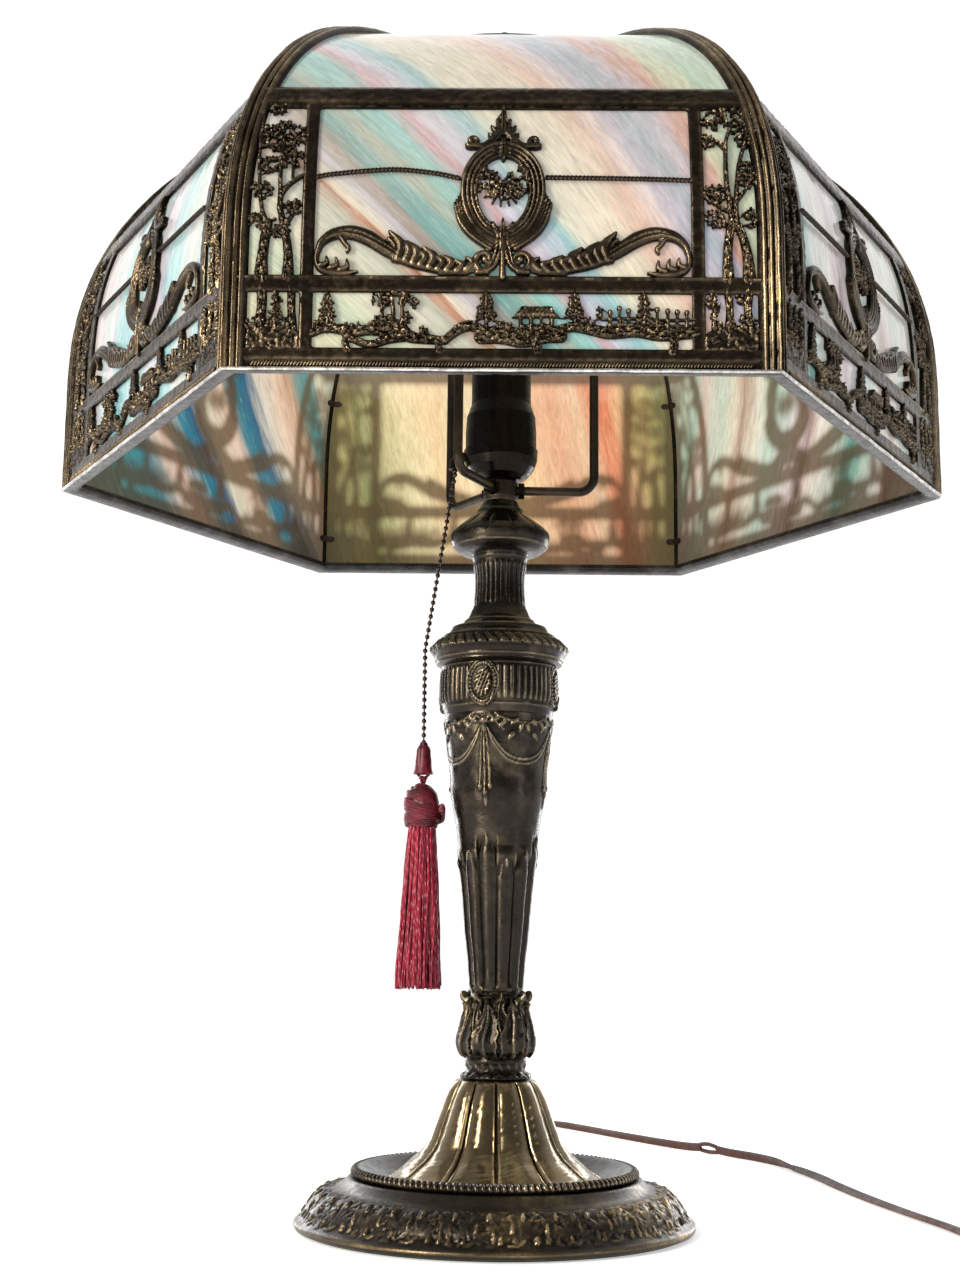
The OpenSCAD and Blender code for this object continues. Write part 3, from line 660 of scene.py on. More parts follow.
def draw_cartouche(r):
    """An upright oval of nested ridges with foliage inside, feathered wings, a crown and two volutes."""
    for rx, rz, wide, high in ((15.9, 21.6, 1.0, 3.1), (14.1, 19.7, 0.85, 2.9), (12.4, 17.9, 0.8, 2.7),
                               (10.8, 16.2, 0.7, 2.4)):
        ring = [(rx * math.cos(a) * (1 + 0.03 * math.sin(a)), 420.4 + rz * math.sin(a))
                for a in np.linspace(0, TAU, 33)]
        r.stroke(ring, [wide], high, smooth=3)
    for x, z, rx, rz, n in ((-5.4, 424.0, 4.8, 6.2, 54), (5.4, 423.8, 4.8, 6.2, 54),
                            (0, 420.8, 3.6, 4.4, 30), (-8.2, 430, 2.6, 3.6, 18), (8.2, 430, 2.6, 3.6, 18)):
        r.foliage(x, z, rx, rz, 2.6, n, int(x * 3) + 70, 1.45)
    for x, z in ((-4.2, 415.4), (-1.0, 414.4), (2.4, 414.6), (5.2, 415.6)):
        r.stroke([(x, z), (x * 0.6, 419), (x * 0.7, 423)], [0.45, 0.4, 0.4], 2.3)
    for n in range(-3, 4):
        r.leaf(n * 1.1, 399.6, 9.2 - 0.9 * abs(n), 2.1, math.pi / 2 - n * 0.36, 3.2 - 0.12 * abs(n))
    for side in (-1, 1):
        for n in range(5):
            line = [(18.9 - 0.8 * n, 414.0 + 1.6 * n), (17.4 - 0.9 * n, 408.0 + 1.0 * n),
                    (14.3 - 0.95 * n, 403.0 + 0.9 * n), (10.2 - 0.95 * n, 399.2 + 0.95 * n),
                    (4.8 - 0.6 * n, 395.6 + 1.3 * n)]
            r.stroke(mirrored(side, line), [0.35, 0.9, 1.0, 0.95, 0.8], 3.3 - 0.14 * n, smooth=3)
        for n in range(4):
            r.leaf(side * (17.9 - 0.8 * n), 411.0 + 1.5 * n, 4.4, 1.5, math.pi / 2 - side * 0.35, 3.2)
        r.stroke(curl((side * 12.4, 443.4), 2.7, 0.7, 1.72 * math.pi, -0.3 * math.pi, side),
                 [1.2, 1.05, 0.9], 3.0)
        r.stroke([(side * 11.0, 440.9), (side * 7.4, 441.4), (side * 4.4, 444.0), (side * 1.6, 447.4)],
                 [1.15, 1.5, 1.7, 1.6], 3.0)
        for lean, long in ((0.22, 9.4), (0.55, 7.4), (1.0, 5.4), (1.5, 4.4)):
            r.leaf(side * (0.6 + 1.3 * lean), 446.4 - 2.2 * lean, long, 2.1, math.pi / 2 - side * lean, 3.1)
        r.leaf(side * 4.4, 441.6, 5.6, 2.0, -math.pi / 2 - side * 0.3, 3.0)
        r.stroke(curl((side * 6.9, 391.0), 4.6, 1.3, -0.55 * math.pi, 1.35 * math.pi, side),
                 [1.45, 1.4, 1.1, 0.8], 3.2)
        r.blob(side * 6.9, 391.2, 1.5, 3.5)
        for x in (0.9, 2.5):
            r.stroke([(side * x * 0.7, 402), (side * (x + 0.3), 394.5), (side * (x + 2.6), 388.4),
                      (side * (x + 7.4), 386.0)], [0.6, 0.75, 0.95, 1.1], 3.2)
        r.stroke([(side * 9.8, 388.8), (side * 15, 386.8), (side * 24, 386.2)], [1.4, 1.9, 1.6], 2.6)
    r.stroke([(0, 384), (0, 391), (0, 399.5)], [1.5, 1.1, 1.3], 3.3)
    r.leaf(0, 446.4, 15.8, 3.0, math.pi / 2, 3.3)
    r.foliage(0, 453.0, 2.2, 4.0, 3.1, 18, 5, 1.4)
    r.leaf(0, 444.5, 10.6, 4.0, -math.pi / 2, 3.3)
    for side in (-1, 1):
        r.leaf(side * 1.5, 442, 6.8, 2.0, -math.pi / 2 + side * 0.42, 2.8)


def curl(centre, r0, r1, a0, a1, side=1):
    """Points of a spiral; side -1 mirrors it in the upright through its middle."""
    t = np.linspace(0, 1, 12)
    r, a = r0 + (r1 - r0) * t, a0 + (a1 - a0) * t
    return np.stack([centre[0] + side * r * np.cos(a), centre[1] + r * np.sin(a)], -1)


def draw_scroll(r, side):
    """The long acanthus branch from the foot, over its arch and round the end scroll."""
    m = functools.partial(mirrored, side)
    r.stroke(m([(19, 386.2), (26, 387.4), (36, 390.2), (45, 395.0), (52.5, 400.0), (59.5, 402.4),
                (66.3, 401.6), (70.9, 398.2), (72.6, 394.0)]),
             [1.5, 1.7, 2.0, 2.7, 3.1, 2.9, 2.3, 1.6, 1.1], 2.9)
    for lift in (-1.0, 0.9):
        r.stroke(m([(40, 392.2 + lift), (48, 397.2 + lift), (56, 401.2 + lift), (63, 402.0 + lift * 0.6),
                    (69, 399.2)]), [0.3, 0.45, 0.35], 3.4)
    r.stroke(m([(72.6, 394.6), (72.9, 390.6), (71.2, 387.4), (67, 386.0), (61.5, 385.4), (57, 386.2)]),
             [1.1, 1.2, 1.5, 1.9, 1.4, 0.6], 2.8)
    for (x0, z0), (x1, z1), (x2, z2) in (((71, 388.4), (68.8, 389.6), (68.9, 391.8)),
                                         ((67.4, 387.4), (64.8, 388.8), (65.2, 391.4)),
                                         ((63.6, 386.6), (60.8, 388.2), (60.9, 390.8))):
        r.stroke(m([(x0, z0), (x1, z1), (x2, z2)]), [1.15, 1.05, 0.55], 3.2)
    r.stroke(m([(63.5, 400.4), (61.9, 397.8), (60.4, 396.0), (61.0, 394.4)]), [1.2, 1.0, 0.95, 0.6], 2.7)
    lobes = (((39.6, 390.8), (44.2, 402.4), 1.7), ((36.6, 390.2), (40.6, 399.4), 1.45),
             ((33.6, 389.0), (37.4, 398.2), 1.7), ((30.8, 388.4), (33.7, 394.8), 1.4),
             ((27.2, 387.4), (30.8, 395.8), 1.65), ((24.0, 386.6), (26.8, 392.6), 1.4),
             ((20.4, 386.2), (23.4, 392.6), 1.5), ((16.6, 386.0), (18.6, 390.6), 1.3),
             ((12.8, 386.6), (14.2, 391.9), 1.35))
    for (x0, z0), (x1, z1), wide in lobes:
        bow = (x0 * 0.62 + x1 * 0.38 - 1.5, (z0 + z1) / 2 + 0.8)
        r.stroke(m([(x0 + 1.5, z0 + 0.4), bow, (x1, z1)]), [wide * 0.95, wide * 1.2, wide * 0.45], 3.3)
        r.stroke(m([(x0 + 3.0, z0 + 0.6), (bow[0] + 2.2, bow[1] - 0.8), (x1 + 0.6, z1 - 2.6)]),
                 [wide * 0.8, wide * 0.8, wide * 0.4], 2.8)


# Each tree column: stems and clumps above the middle bar, then those below it. A stem is its points and
# half widths; a clump is its middle, its two radii and its number of leaves.
TREES = {
    -1: ([([(94.5, 384), (94.2, 392), (93.4, 400), (92.4, 406)], [2.9, 2.2, 2.0, 1.8]),
          ([(84, 384), (84, 392), (85, 400), (86.6, 407), (88, 413)], [2.5, 1.9, 1.7, 1.4, 1.2]),
          ([(92.4, 405), (94.6, 411), (95.8, 418), (96.6, 428), (97, 440), (96.8, 452), (96, 462)],
           [1.3, 0.9, 0.8, 0.75, 0.7, 0.6, 0.5]),
          ([(88, 412), (88, 420), (88.3, 428), (88, 436), (87.4, 444)], [1.1, 0.9, 0.85, 0.8, 0.6]),
          ([(87.4, 411), (87.4, 418), (84.9, 422.5), (81.5, 425.6), (78.6, 427.4)],
           [0.9, 0.8, 0.8, 0.75, 0.7]),
          ([(86.2, 404), (83.4, 409), (80.6, 413.4)], [1.1, 0.8, 0.6]),
          ([(83.4, 426), (83.2, 432), (82.6, 438)], [0.6, 0.6, 0.5])],
         [(91, 460.4, 3.4, 2.4, 16), (88.3, 446, 9, 6.6, 96), (93.2, 432, 3.4, 3.4, 26),
          (83.4, 434.6, 4.3, 4.0, 34), (95.4, 420.4, 4.4, 3.2, 32), (82, 413.2, 3.2, 2.8, 20),
          (97.2, 407.8, 2.7, 3.0, 18), (89.6, 404.4, 5.6, 3.6, 30)],
         [([(94, 379), (93.8, 371), (94.8, 362)], [2.1, 1.9, 2.4]),
          ([(82.4, 379), (82.2, 371), (81.6, 363)], [1.7, 1.6, 1.9]),
          ([(88.2, 379), (88.2, 371), (88.6, 363)], [0.9, 0.9, 1.2])],
         [(88.2, 372, 2.2, 5.4, 22), (97.6, 364, 2.4, 3.2, 14), (84.8, 364.4, 2.6, 2.6, 14),
          (91.4, 365, 2.4, 2.2, 10)]),
    1: ([([(88.2, 384), (88, 392), (88.4, 399), (89.4, 406)], [2.5, 2.0, 1.8, 1.6]),
          ([(96.4, 384), (96, 392), (94.8, 399), (92.6, 406)], [2.7, 2.1, 1.8, 1.5]),
          ([(90, 405), (89.4, 414), (88.2, 424), (88, 434), (88.6, 445), (91, 452)],
           [1.3, 1.1, 1.0, 0.95, 0.8, 0.6]),
          ([(92, 405), (91.6, 414), (92.2, 424), (93.4, 434), (96, 444), (97.6, 452)],
           [1.2, 1.0, 0.95, 0.9, 0.8, 0.6]),
          ([(88.4, 440), (84.6, 444.4), (81, 446)], [0.7, 0.6, 0.6]),
          ([(91.6, 416), (95, 421), (98, 427)], [0.8, 0.7, 0.6]),
          ([(89.2, 412), (85.4, 414), (82, 417)], [0.8, 0.7, 0.6])],
         [(89.5, 455.6, 10, 5.0, 84), (96.4, 446.6, 4.2, 5.2, 34), (81.4, 444.6, 2.6, 3.0, 18),
          (97, 428.4, 4, 5.6, 44), (83.6, 419.6, 4.4, 4.0, 38), (83.4, 409.4, 3.8, 4.0, 30),
          (97.2, 409.6, 3.0, 3.8, 24), (90.8, 406.4, 3.8, 3.0, 14)],
         [([(88, 379), (88.6, 371), (88, 362)], [1.7, 1.5, 1.9]),
          ([(96, 379), (95.6, 371), (96.4, 362)], [1.9, 1.6, 2.1]),
          ([(82.2, 379), (82.6, 372), (82.2, 364)], [0.8, 0.8, 1.0])],
         [(82.2, 373, 2.2, 4.6, 22), (92, 366, 3, 3, 16), (98, 365, 2.2, 3, 12),
          (85, 364, 2.6, 2.4, 12), (92, 376, 2.6, 2.0, 10)]),
}


def draw_tree_column(r, side):
    """Two bark trunks rising through the mid bar into thin stems and clumps of leaves."""
    m = functools.partial(mirrored, side)
    stems, clumps, lower, low_clumps = TREES[side]
    for points, widths in stems:
        r.stroke(m(points), widths, 2.3, grain=0.55)
    for points, widths in lower:
        r.stroke(m(points), widths, 2.1, grain=0.5)
    for n, (x, z, rx, rz, count) in enumerate(clumps + low_clumps):
        r.foliage(side * x, z, rx * 1.12, rz * 1.12, 2.5, int(count * 1.25), 40 + n + (side > 0) * 20, 1.5)
    r.area(m([(100, 354), (100, 364), (96, 362), (92, 365.4), (87, 361.6), (83, 364.4), (78, 361),
              (78, 354)]), 1.7, 0.5, 1.5, 8)


def draw_conifer(r, x, low, top, reach, tiers):
    """A trunk up to the bar with drooping, ragged branches, shorter towards the top."""
    rng = np.random.default_rng(int(x * 10) % 997)
    r.stroke([(x, low), (x + 0.3, (low + top) / 2), (x, top)], [0.95, 0.7, 0.5], 2.2, grain=0.3)
    for n in range(tiers):
        z = low + 3.6 + (top - low - 4.4) * (n + 0.5) / tiers
        for side in (-1, 1):
            far = reach * (0.9 - 0.6 * n / tiers) * rng.uniform(0.75, 1.1)
            droop = z - rng.uniform(0.7, 1.5)
            branch = [(x, z + 0.5), (x + side * far * 0.5, z + 0.2), (x + side * far, droop)]
            r.stroke(branch, [0.55, 0.5, 0.4], 2.3)
            for share in (0.3, 0.62, 0.95):
                lean = math.pi / 2 - side * rng.uniform(1.7, 2.9)
                long = rng.uniform(1.2, 1.9)
                r.leaf(x + side * far * share, z + (droop - z) * share, long, 0.8, lean, 2.5)


# The landscape: branches and roots as points and half widths, then bushes as middle, two radii and
# number of leaves.
BRANCHES = (
    ([(-74, 361), (-69, 363), (-63, 362.6), (-58, 361.6), (-52, 362.4), (-46, 362)], [1.3, 1.7, 1.8]),
    ([(-62, 361.4), (-57, 358.2), (-51, 356.6), (-44, 358.6), (-38, 359.6)], [1.0, 1.3, 1.5]),
    ([(-50, 363.4), (-44, 364.6), (-39, 362), (-35, 359.6), (-29, 358.8), (-22, 358.4)],
     [2.3, 2.7, 1.7, 1.4]),
    ([(-22, 358.4), (-18.6, 361.4), (-13.8, 363.9), (-9, 363.3), (-5.6, 359.6)],
     [1.3, 1.4, 1.5, 1.4, 1.6]),
    ([(-8, 360), (0, 361), (8, 359.4), (16, 361.4), (23, 360.2)], [2.4, 3.3, 3.0, 3.4, 2.0]),
    ([(21, 362.6), (28, 364.2), (35, 363), (42, 361.8), (52, 362.8), (62, 361.2), (75, 362.2)],
     [1.4, 1.7, 1.8, 2.0, 2.2, 2.1, 1.9]),
    ([(66, 361), (67, 357.6), (66.2, 354)], [1.6, 1.3, 1.6]),
    ([(-60, 360), (-61, 357.4), (-60, 354)], [1.3, 1.1, 1.4]),
    ([(-24, 358.6), (-24.6, 356), (-24, 354)], [1.2, 1.1, 1.4]),
    ([(14, 359), (13.6, 356), (14, 354)], [1.8, 1.5, 1.6]),
)
BUSHES = (
    (-47, 375.0, 4.6, 3.2, 26), (-40.4, 375.4, 5.4, 3.0, 30), (-34.6, 374, 3.0, 2.4, 12),
    (-46, 366.8, 5.0, 2.4, 22), (-37.0, 367.4, 2.2, 2.6, 12), (-58.4, 364.2, 3.4, 1.7, 12),
    (-30.4, 362.4, 2.0, 2.6, 12), (1, 364.2, 4.5, 1.6, 12), (14, 363.6, 6, 1.4, 12),
    (38, 369.2, 1.7, 2.9, 12), (33, 366.2, 3, 1.6, 9), (50, 365.4, 5, 1.5, 12), (62, 364.2, 4, 1.5, 10),
    (-71, 364.6, 2.4, 2.2, 9),
)


def draw_landscape(r):
    """Trees, a bridge, a cottage and a fence on a rough bank along the bottom of the panel."""
    for points, widths in BRANCHES:
        r.stroke(points, [w * 1.22 for w in widths], 2.2, grain=0.75)
    r.stroke([(-20.4, 361), (-17.6, 364), (-13.8, 365.7), (-9.6, 365.0), (-6.6, 362)], [0.55], 2.7, pitch=1.6)
    for x, z, rx, rz, n in BUSHES:
        r.foliage(x, z, rx, rz, 2.5, n, int(abs(x) * 7) + 3, 1.35)
    for x, low, top, wide in ((-47.4, 363, 376, 0.7), (-43.0, 363, 376, 0.8), (-39.4, 363, 375, 0.65)):
        r.stroke([(x, low), (x + 0.6, (low + top) / 2), (x - 0.2, top)], [wide * 1.3, wide], 2.1, grain=0.3)
    for x, low, top, reach, tiers in ((-68.2, 362, 378.6, 3.4, 5), (-6.2, 363.4, 378.6, 4.4, 6),
                                      (28.2, 364, 379, 4.2, 5), (55.2, 363, 378.8, 3.4, 5)):
        draw_conifer(r, x, low, top, reach, tiers)
    draw_cottage(r)
    r.stroke([(39, 367.2), (50, 367.6), (62, 367.0), (75, 367.3)], [0.55], 2.2)
    r.stroke([(41, 364.9), (50, 365.1), (62, 364.7), (75, 364.9)], [0.45], 2.0)
    for x, top in ((42, 369.6), (45.6, 371.2), (49.2, 370.2), (60.3, 370.8), (64.4, 370.2), (68.1, 369.8),
                   (71.8, 369.6)):
        r.stroke([(x, 362.5), (x, top)], [0.62], 2.3)
        r.blob(x, top + 0.5, 1.05, 2.6)


def draw_cottage(r):
    """A thatched roof on four posts, with a rail."""
    r.area([(3.6, 367.6), (8.3, 372.4), (18.8, 372.2), (22.6, 367.6)], 2.4, 0.18, 0.9, 4)
    for n in range(9):
        x = 6.2 + 1.75 * n
        r.stroke([(x - 1.2, 368.1), (min(x + 1.4, 19.5), 371.8)], [0.24], 2.9)
    for x0, x1 in ((6.4, 8.0), (10.4, 12.2), (14.6, 15.8), (18.4, 20.2)):
        r.bar(x0, 362.5, x1, 368, 1.9)
    r.bar(6.4, 364.2, 20.2, 365.2, 1.6)


def cell_mesh(name, x, z, relief, back, to_place):
    """A closed casting: the cells with any corner inside, their outer corners drawn in to the edge."""
    rows, cols = x.shape
    inside = relief.inside.reshape(rows, cols)
    height = relief.height.reshape(rows, cols)
    full = inside > 0
    keep = full[:-1, :-1] | full[1:, :-1] | full[:-1, 1:] | full[1:, 1:]
    gz, gx = np.gradient(inside, z[1, 0] - z[0, 0], x[0, 1] - x[0, 0])
    size = np.maximum(np.hypot(gx, gz), 0.25)
    pull = np.where(full, 0, np.clip(-inside, 0, 0.9))
    px, pz = x + gx / size * pull, z + gz / size * pull
    near = np.zeros_like(height)
    for dz, dx in ((0, 1), (0, -1), (1, 0), (-1, 0), (1, 1), (-1, -1), (1, -1), (-1, 1)):
        near = np.maximum(near, np.roll(np.where(full, height, 0), (dz, dx), (0, 1)))
    height = np.where(full, height, near * 0.75)
    quads = grid_faces(rows, cols)[keep.ravel()]
    used = np.unique(quads)
    number = np.full(rows * cols, -1)
    number[used] = np.arange(len(used))
    quads = number[quads]
    n = len(used)
    front = to_place(px.ravel()[used], pz.ravel()[used], back - height.ravel()[used])
    rear = to_place(px.ravel()[used], pz.ravel()[used], np.full(n, back))
    edges = np.concatenate([quads[:, [0, 1]], quads[:, [1, 2]], quads[:, [2, 3]], quads[:, [3, 0]]])
    key = edges[:, 0].astype(np.int64) * n + edges[:, 1]
    back_key = edges[:, 1].astype(np.int64) * n + edges[:, 0]
    rim = edges[~np.isin(key, back_key)]
    walls = np.stack([rim[:, 1], rim[:, 0], rim[:, 0] + n, rim[:, 1] + n], -1)
    shape = (height - masked_mean(height, full, 3)).ravel()[used]
    values = {"raised": np.concatenate([step(0.0, 0.45, shape), np.zeros(n)]),
              "sunk": np.concatenate([step(0.0, 0.5, -shape), np.zeros(n)])}
    return make_mesh(name, np.vstack([front, rear]), [quads, quads[:, ::-1] + n, walls], 62, values)


def masked_mean(height, full, reach):
    """Mean height of the metal in a square of cells; the open cells don't count."""
    total, count = np.where(full, height, 0.0), full.astype(float)
    for axis in (0, 1):
        total = sum(np.roll(total, n, axis) for n in range(-reach, reach + 1))
        count = sum(np.roll(count, n, axis) for n in range(-reach, reach + 1))
    return total / np.maximum(count, 1)


def sheet_points(cell):
    return np.meshgrid(np.arange(-108, 108 + cell, cell), np.arange(SEAT_Z, FIELD_TOP + cell, cell))


def trimmed(r, u, w):
    """Keeps the casting inside the panel's own edges."""
    edge = half_width(w, 1.7).ravel() - 1.9 - np.abs(u.ravel())
    ends = np.minimum(w.ravel() - SEAT_Z + 0.3, FIELD_TOP - w.ravel())
    r.inside = np.minimum(r.inside, np.minimum(edge, ends))
    return r


def make_openwork(material):
    """One frame of bars and one casting of ornament for all six panels."""
    u, w = sheet_points(0.8)
    bars = Relief(u, w)
    draw_frame(bars)
    bars.height += 0.16 * lattice(u.ravel(), w.ravel() * 1.4, 1.9, 31) * (bars.height > 0)
    frame_mesh = cell_mesh("panel_frame", u, w, trimmed(bars, u, w), OPENWORK_BACK, on_panel)
    u, w = sheet_points(0.45)
    r = Relief(u, w)
    draw_cartouche(r)
    for side in (-1, 1):
        draw_scroll(r, side)
        draw_tree_column(r, side)
    draw_landscape(r)
    ornament = cell_mesh("openwork", u, w, trimmed(r, u, w), OPENWORK_BACK, on_panel)
    for k in PANELS:
        place(f"panel_frame_{k}", frame_mesh, "shade", material, turn=panel_turn(k))
        place(f"openwork_{k}", ornament, "shade", material, (f"overlay_{k}",), panel_turn(k))
    both = Relief(u, w)
    draw_frame(both)
    both.inside = np.maximum(both.inside, r.inside)
    return u, w, both


# ---- slag glass ----

def make_glass(materials, u, w, relief):
    """Six bent panels; each point knows how much of it the openwork hides, for the painted shade and the
    painted soft shadows.
    """
    rows, cols = 150, 130
    along = np.concatenate([np.linspace(SEAT_Z, FIELD_TOP, 96), np.linspace(FIELD_TOP, W_END, 55)[1:]])
    share = np.linspace(-1, 1, cols)
    # Cover of the openwork at each point: sharp for the painted shade on the outer side, blurred for the
    # painted shadow on the inner side.
    cover = np.clip(relief.inside.reshape(u.shape) / 0.8 + 0.6, 0, 1)
    cover = softened(cover, 3)
    painted_shade = sample(cover, u, w)
    soft = sample(np.clip(softened(cover, 26) * 1.25, 0, 1), u, w)
    layers = []
    for depth in (GLASS_IN, GLASS_IN + GLASS_T):
        edge = half_width(along, depth) - 1.85
        x = edge[:, None] * share[None]
        z = np.repeat(along[:, None], cols, 1)
        wave = 0.12 * lattice(x, z, 9, 2)
        layers.append((x, z, on_panel(x, z, depth + wave)))
    n = rows * cols
    ring = np.concatenate([np.arange(cols), np.arange(1, rows) * cols + cols - 1,
                           (rows - 1) * cols + np.arange(cols - 2, -1, -1),
                           np.arange(rows - 2, 0, -1) * cols])
    nxt = np.roll(ring, -1)
    walls = np.stack([nxt, ring, ring + n, nxt + n], -1)
    faces = [grid_faces(rows, cols), grid_faces(rows, cols, flip=True, start=n), walls]
    points = np.vstack([layers[0][2].reshape(-1, 3), layers[1][2].reshape(-1, 3)])
    shade = np.concatenate([painted_shade(layers[0][0], layers[0][1]).ravel()] * 2)
    inner = np.concatenate([np.zeros(n), np.ones(n)])
    shadow = np.concatenate([soft(layers[0][0], layers[0][1]).ravel()] * 2)
    for k, material in zip(PANELS, materials):
        mesh = make_mesh(f"glass_{k}", points, faces, 40,
                         {"painted_shade": shade, "shadow": shadow, "inner": inner,
                          "across": np.concatenate([l[0].ravel() for l in layers]),
                          "along": np.concatenate([l[1].ravel() for l in layers])})
        place(f"slag_glass_{k}", mesh, "shade", material, (f"glass_{k}",), panel_turn(k))


def softened(values, times):
    """A sheet of values blurred along both of its axes."""
    for axis in (0, 1):
        for _ in range(times):
            values = (np.roll(values, 1, axis) + 2 * values + np.roll(values, -1, axis)) / 4
    return values


def sample(values, u, w):
    """A function giving a sheet's value at other points of it, by its four nearest points."""
    u0, w0 = u[0, 0], w[0, 0]
    du, dw = u[0, 1] - u0, w[1, 0] - w0
    rows, cols = values.shape

    def at(x, z):
        i = np.clip((z - w0) / dw, 0, rows - 1.001)
        j = np.clip((x - u0) / du, 0, cols - 1.001)
        a, b = i.astype(int), j.astype(int)
        s, t = i - a, j - b
        inside = z <= w[-1, 0]
        return inside * ((values[a, b] * (1 - t) + values[a, b + 1] * t) * (1 - s)
                         + (values[a + 1, b] * (1 - t) + values[a + 1, b + 1] * t) * s)
    return at


# ---- the column: lathe skins with relief ----

FRONT = math.radians(254)               # where the front medallion stands
BORE = 5.0


def hill(d, wide):
    return np.exp(-(d / wide) ** 2)


def part_of(angle, count, start=0.0):
    """Signed share, -1 to 1, of the way across each of count equal parts round the axis."""
    return 2 * (((angle - start) * count / TAU + 0.5) % 1) - 1


def unrolled(angle, radius, count):
    """Distance round the axis from the middle of each of count equal parts, the front one first."""
    return part_of(angle, count, FRONT) * math.pi * radius / count


def blurred(h, reach):
    """The mean over a square of cells, the second axis being closed."""
    total = h.copy()
    for n in range(1, reach + 1):
        total += np.roll(h, n, 1) + np.roll(h, -n, 1)
    total /= 2 * reach + 1
    pad = np.pad(total, ((reach, reach), (0, 0)), "edge")
    return sum(pad[n:n + len(h)] for n in range(2 * reach + 1)) / (2 * reach + 1)


def turned(name, profile, inner, material, relief=None, node=None, body="lamp",
           around=360, fine=0.8, at=(0.0, 0.0)):
    """A closed lathe skin, bottom to top. relief lifts it along its normal; inner closes it."""
    line = even(curve(profile, 14 * len(profile)), fine)
    s = np.concatenate([[0], np.cumsum(np.linalg.norm(np.diff(line, axis=0), axis=1))])
    along = np.gradient(line, axis=0)
    along /= np.linalg.norm(along, axis=1)[:, None]
    angle, s2 = np.meshgrid(np.arange(around) * TAU / around, s)
    r, z = np.repeat(line[:, :1], around, 1), np.repeat(line[:, 1:], around, 1)
    h = np.zeros_like(r)
    if relief is not None:
        h = relief(angle, s2, r, z) * step(0, 0.8, s2) * step(0, 0.8, s[-1] - s2)
    r, z = r + along[:, 1:] * h, z - along[:, :1] * h
    shape = h - blurred(h, 4)
    rings = [np.stack([at[0] + r * np.cos(angle), at[1] + r * np.sin(angle), z], -1).reshape(-1, 3)]
    a = angle[0]
    for ri, zi in inner:
        rings.append(np.stack([at[0] + ri * np.cos(a), at[1] + ri * np.sin(a), np.full(around, zi)], -1))
    points = np.vstack(rings)
    rows = len(points) // around
    j = np.arange(around)
    last = (rows - 1) * around
    seam = np.stack([last + j, last + (j + 1) % around, (j + 1) % around, j], -1)
    none = np.zeros(around * len(inner))
    values = {"raised": np.concatenate([step(0.03, 0.32, shape).ravel(), none]),
              "sunk": np.concatenate([step(0.02, 0.3, -shape).ravel(), none])}
    mesh = make_mesh(name, points, [grid_faces(rows, around, closed=True), seam], 58, values)
    return place(name, mesh, body, material, (node,) if node else ())


def leaf_band(angle, s, r, z):
    """Base: a dense band of low feathery leaves and upright buds under a plain cove, over a worn rim."""
    period = 42.4
    sheet = Relief((angle * 81.0) % period, s)
    rng = np.random.default_rng(21)
    litter = [(rng.uniform(0, period), rng.uniform(8.6, 25.5), rng.uniform(2.8, 5.2),
               rng.uniform(1.1, 2.0), math.pi / 2 + rng.normal(0, 0.75), rng.uniform(0.6, 1.2))
              for _ in range(140)]
    for x0 in (-period, 0, period):
        for x, up, long, wide, lean, high in litter:
            sheet.leaf(x0 + x, up, long, wide, lean, high)
        for n in range(-4, 5):
            lean = math.pi / 2 - 0.36 * n
            sheet.leaf(x0 + 10.6 + 1.0 * n, 13.0, 12.0 - 1.3 * abs(n), 2.0, lean, 1.1 - 0.07 * abs(n))
        for n in range(-3, 4):
            lean = math.pi / 2 - 0.42 * n
            sheet.leaf(x0 + 31.8 + 0.8 * n, 13.4, 9.0 - 1.0 * abs(n), 1.9, lean, 1.0)
        for side in (-1, 1):
            for n in range(7):
                t = n / 6
                x, up = x0 + 10.6 + side * (4.5 + 12.4 * t), 13.0 + 11.4 * t ** 1.1
                sheet.leaf(x, up, 4.6, 1.6, math.pi / 2 - side * (1.0 - 0.9 * t), 1.0)
                sheet.leaf(x, up, 3.8, 1.5, math.pi / 2 - side * (2.2 - 0.4 * t), 0.85)
        for x in (0.0, 21.2):
            sheet.stroke([(x0 + x, 10.8), (x0 + x + 0.2, 12.4), (x0 + x, 14.4)], [0.75, 0.85, 0.4], 1.55)
            sheet.leaf(x0 + x, 14, 4.0, 1.4, math.pi / 2, 1.2)
        for row, up in enumerate((10.4, 15.6, 21.0)):
            for x in (2.4 + 4.7 * row, 16.5 + 4.7 * row, 30.7 + 4.7 * row):
                sheet.stroke([(x0 + x, up), (x0 + x + 0.3, up + 2.6)], [0.75, 0.6], 2.3)
    wave = 0.16 * lattice(angle * 30, s, 1.7, 4) * hill(s - 19, 9)
    tips = 1.0 * np.abs(part_of(angle, 60)) * hill(s - 27.6, 1.3)
    rim = 0.45 * hill(s - 5.2, 1.1)
    return sheet.height.reshape(s.shape) * 0.55 + wave + tips * 0.5 + rim


def rope_lip(angle, s, r, z):
    """Saucer: slanting ticks along the top of the lip."""
    tick = 0.5 + 0.5 * np.cos(angle * 136 + s * 0.5)
    lip = step(6.0, 6.8, s) * (1 - step(10.4, 11.2, s))
    return lip * (1.05 * tick ** 0.7 - 0.5) + 0.08 * lattice(angle * r, s, 4, 3)


def petals(angle, s, r, z):
    """Bell: twelve domed petals rounding over at the top, each with a thin ridge inside its edge."""
    p = np.abs(part_of(angle, 12, math.radians(286)))
    over = np.sqrt(np.clip(1 - (np.clip(z - 56.5, 0, 9.5) / 9.6) ** 2, 0, 1))
    edge = (1 - p) * r * math.pi / 12
    dome = 1.9 * np.clip(1 - p ** 2, 0, 1) * step(0, 16, s) * over
    ridge = 0.42 * hill(edge - np.clip(r / 26, 0.7, 1.5), 0.42) * over
    groove = 1.0 * hill(edge, 0.5)
    return dome + ridge - groove + 0.1 * lattice(angle * r, s, 3, 9)


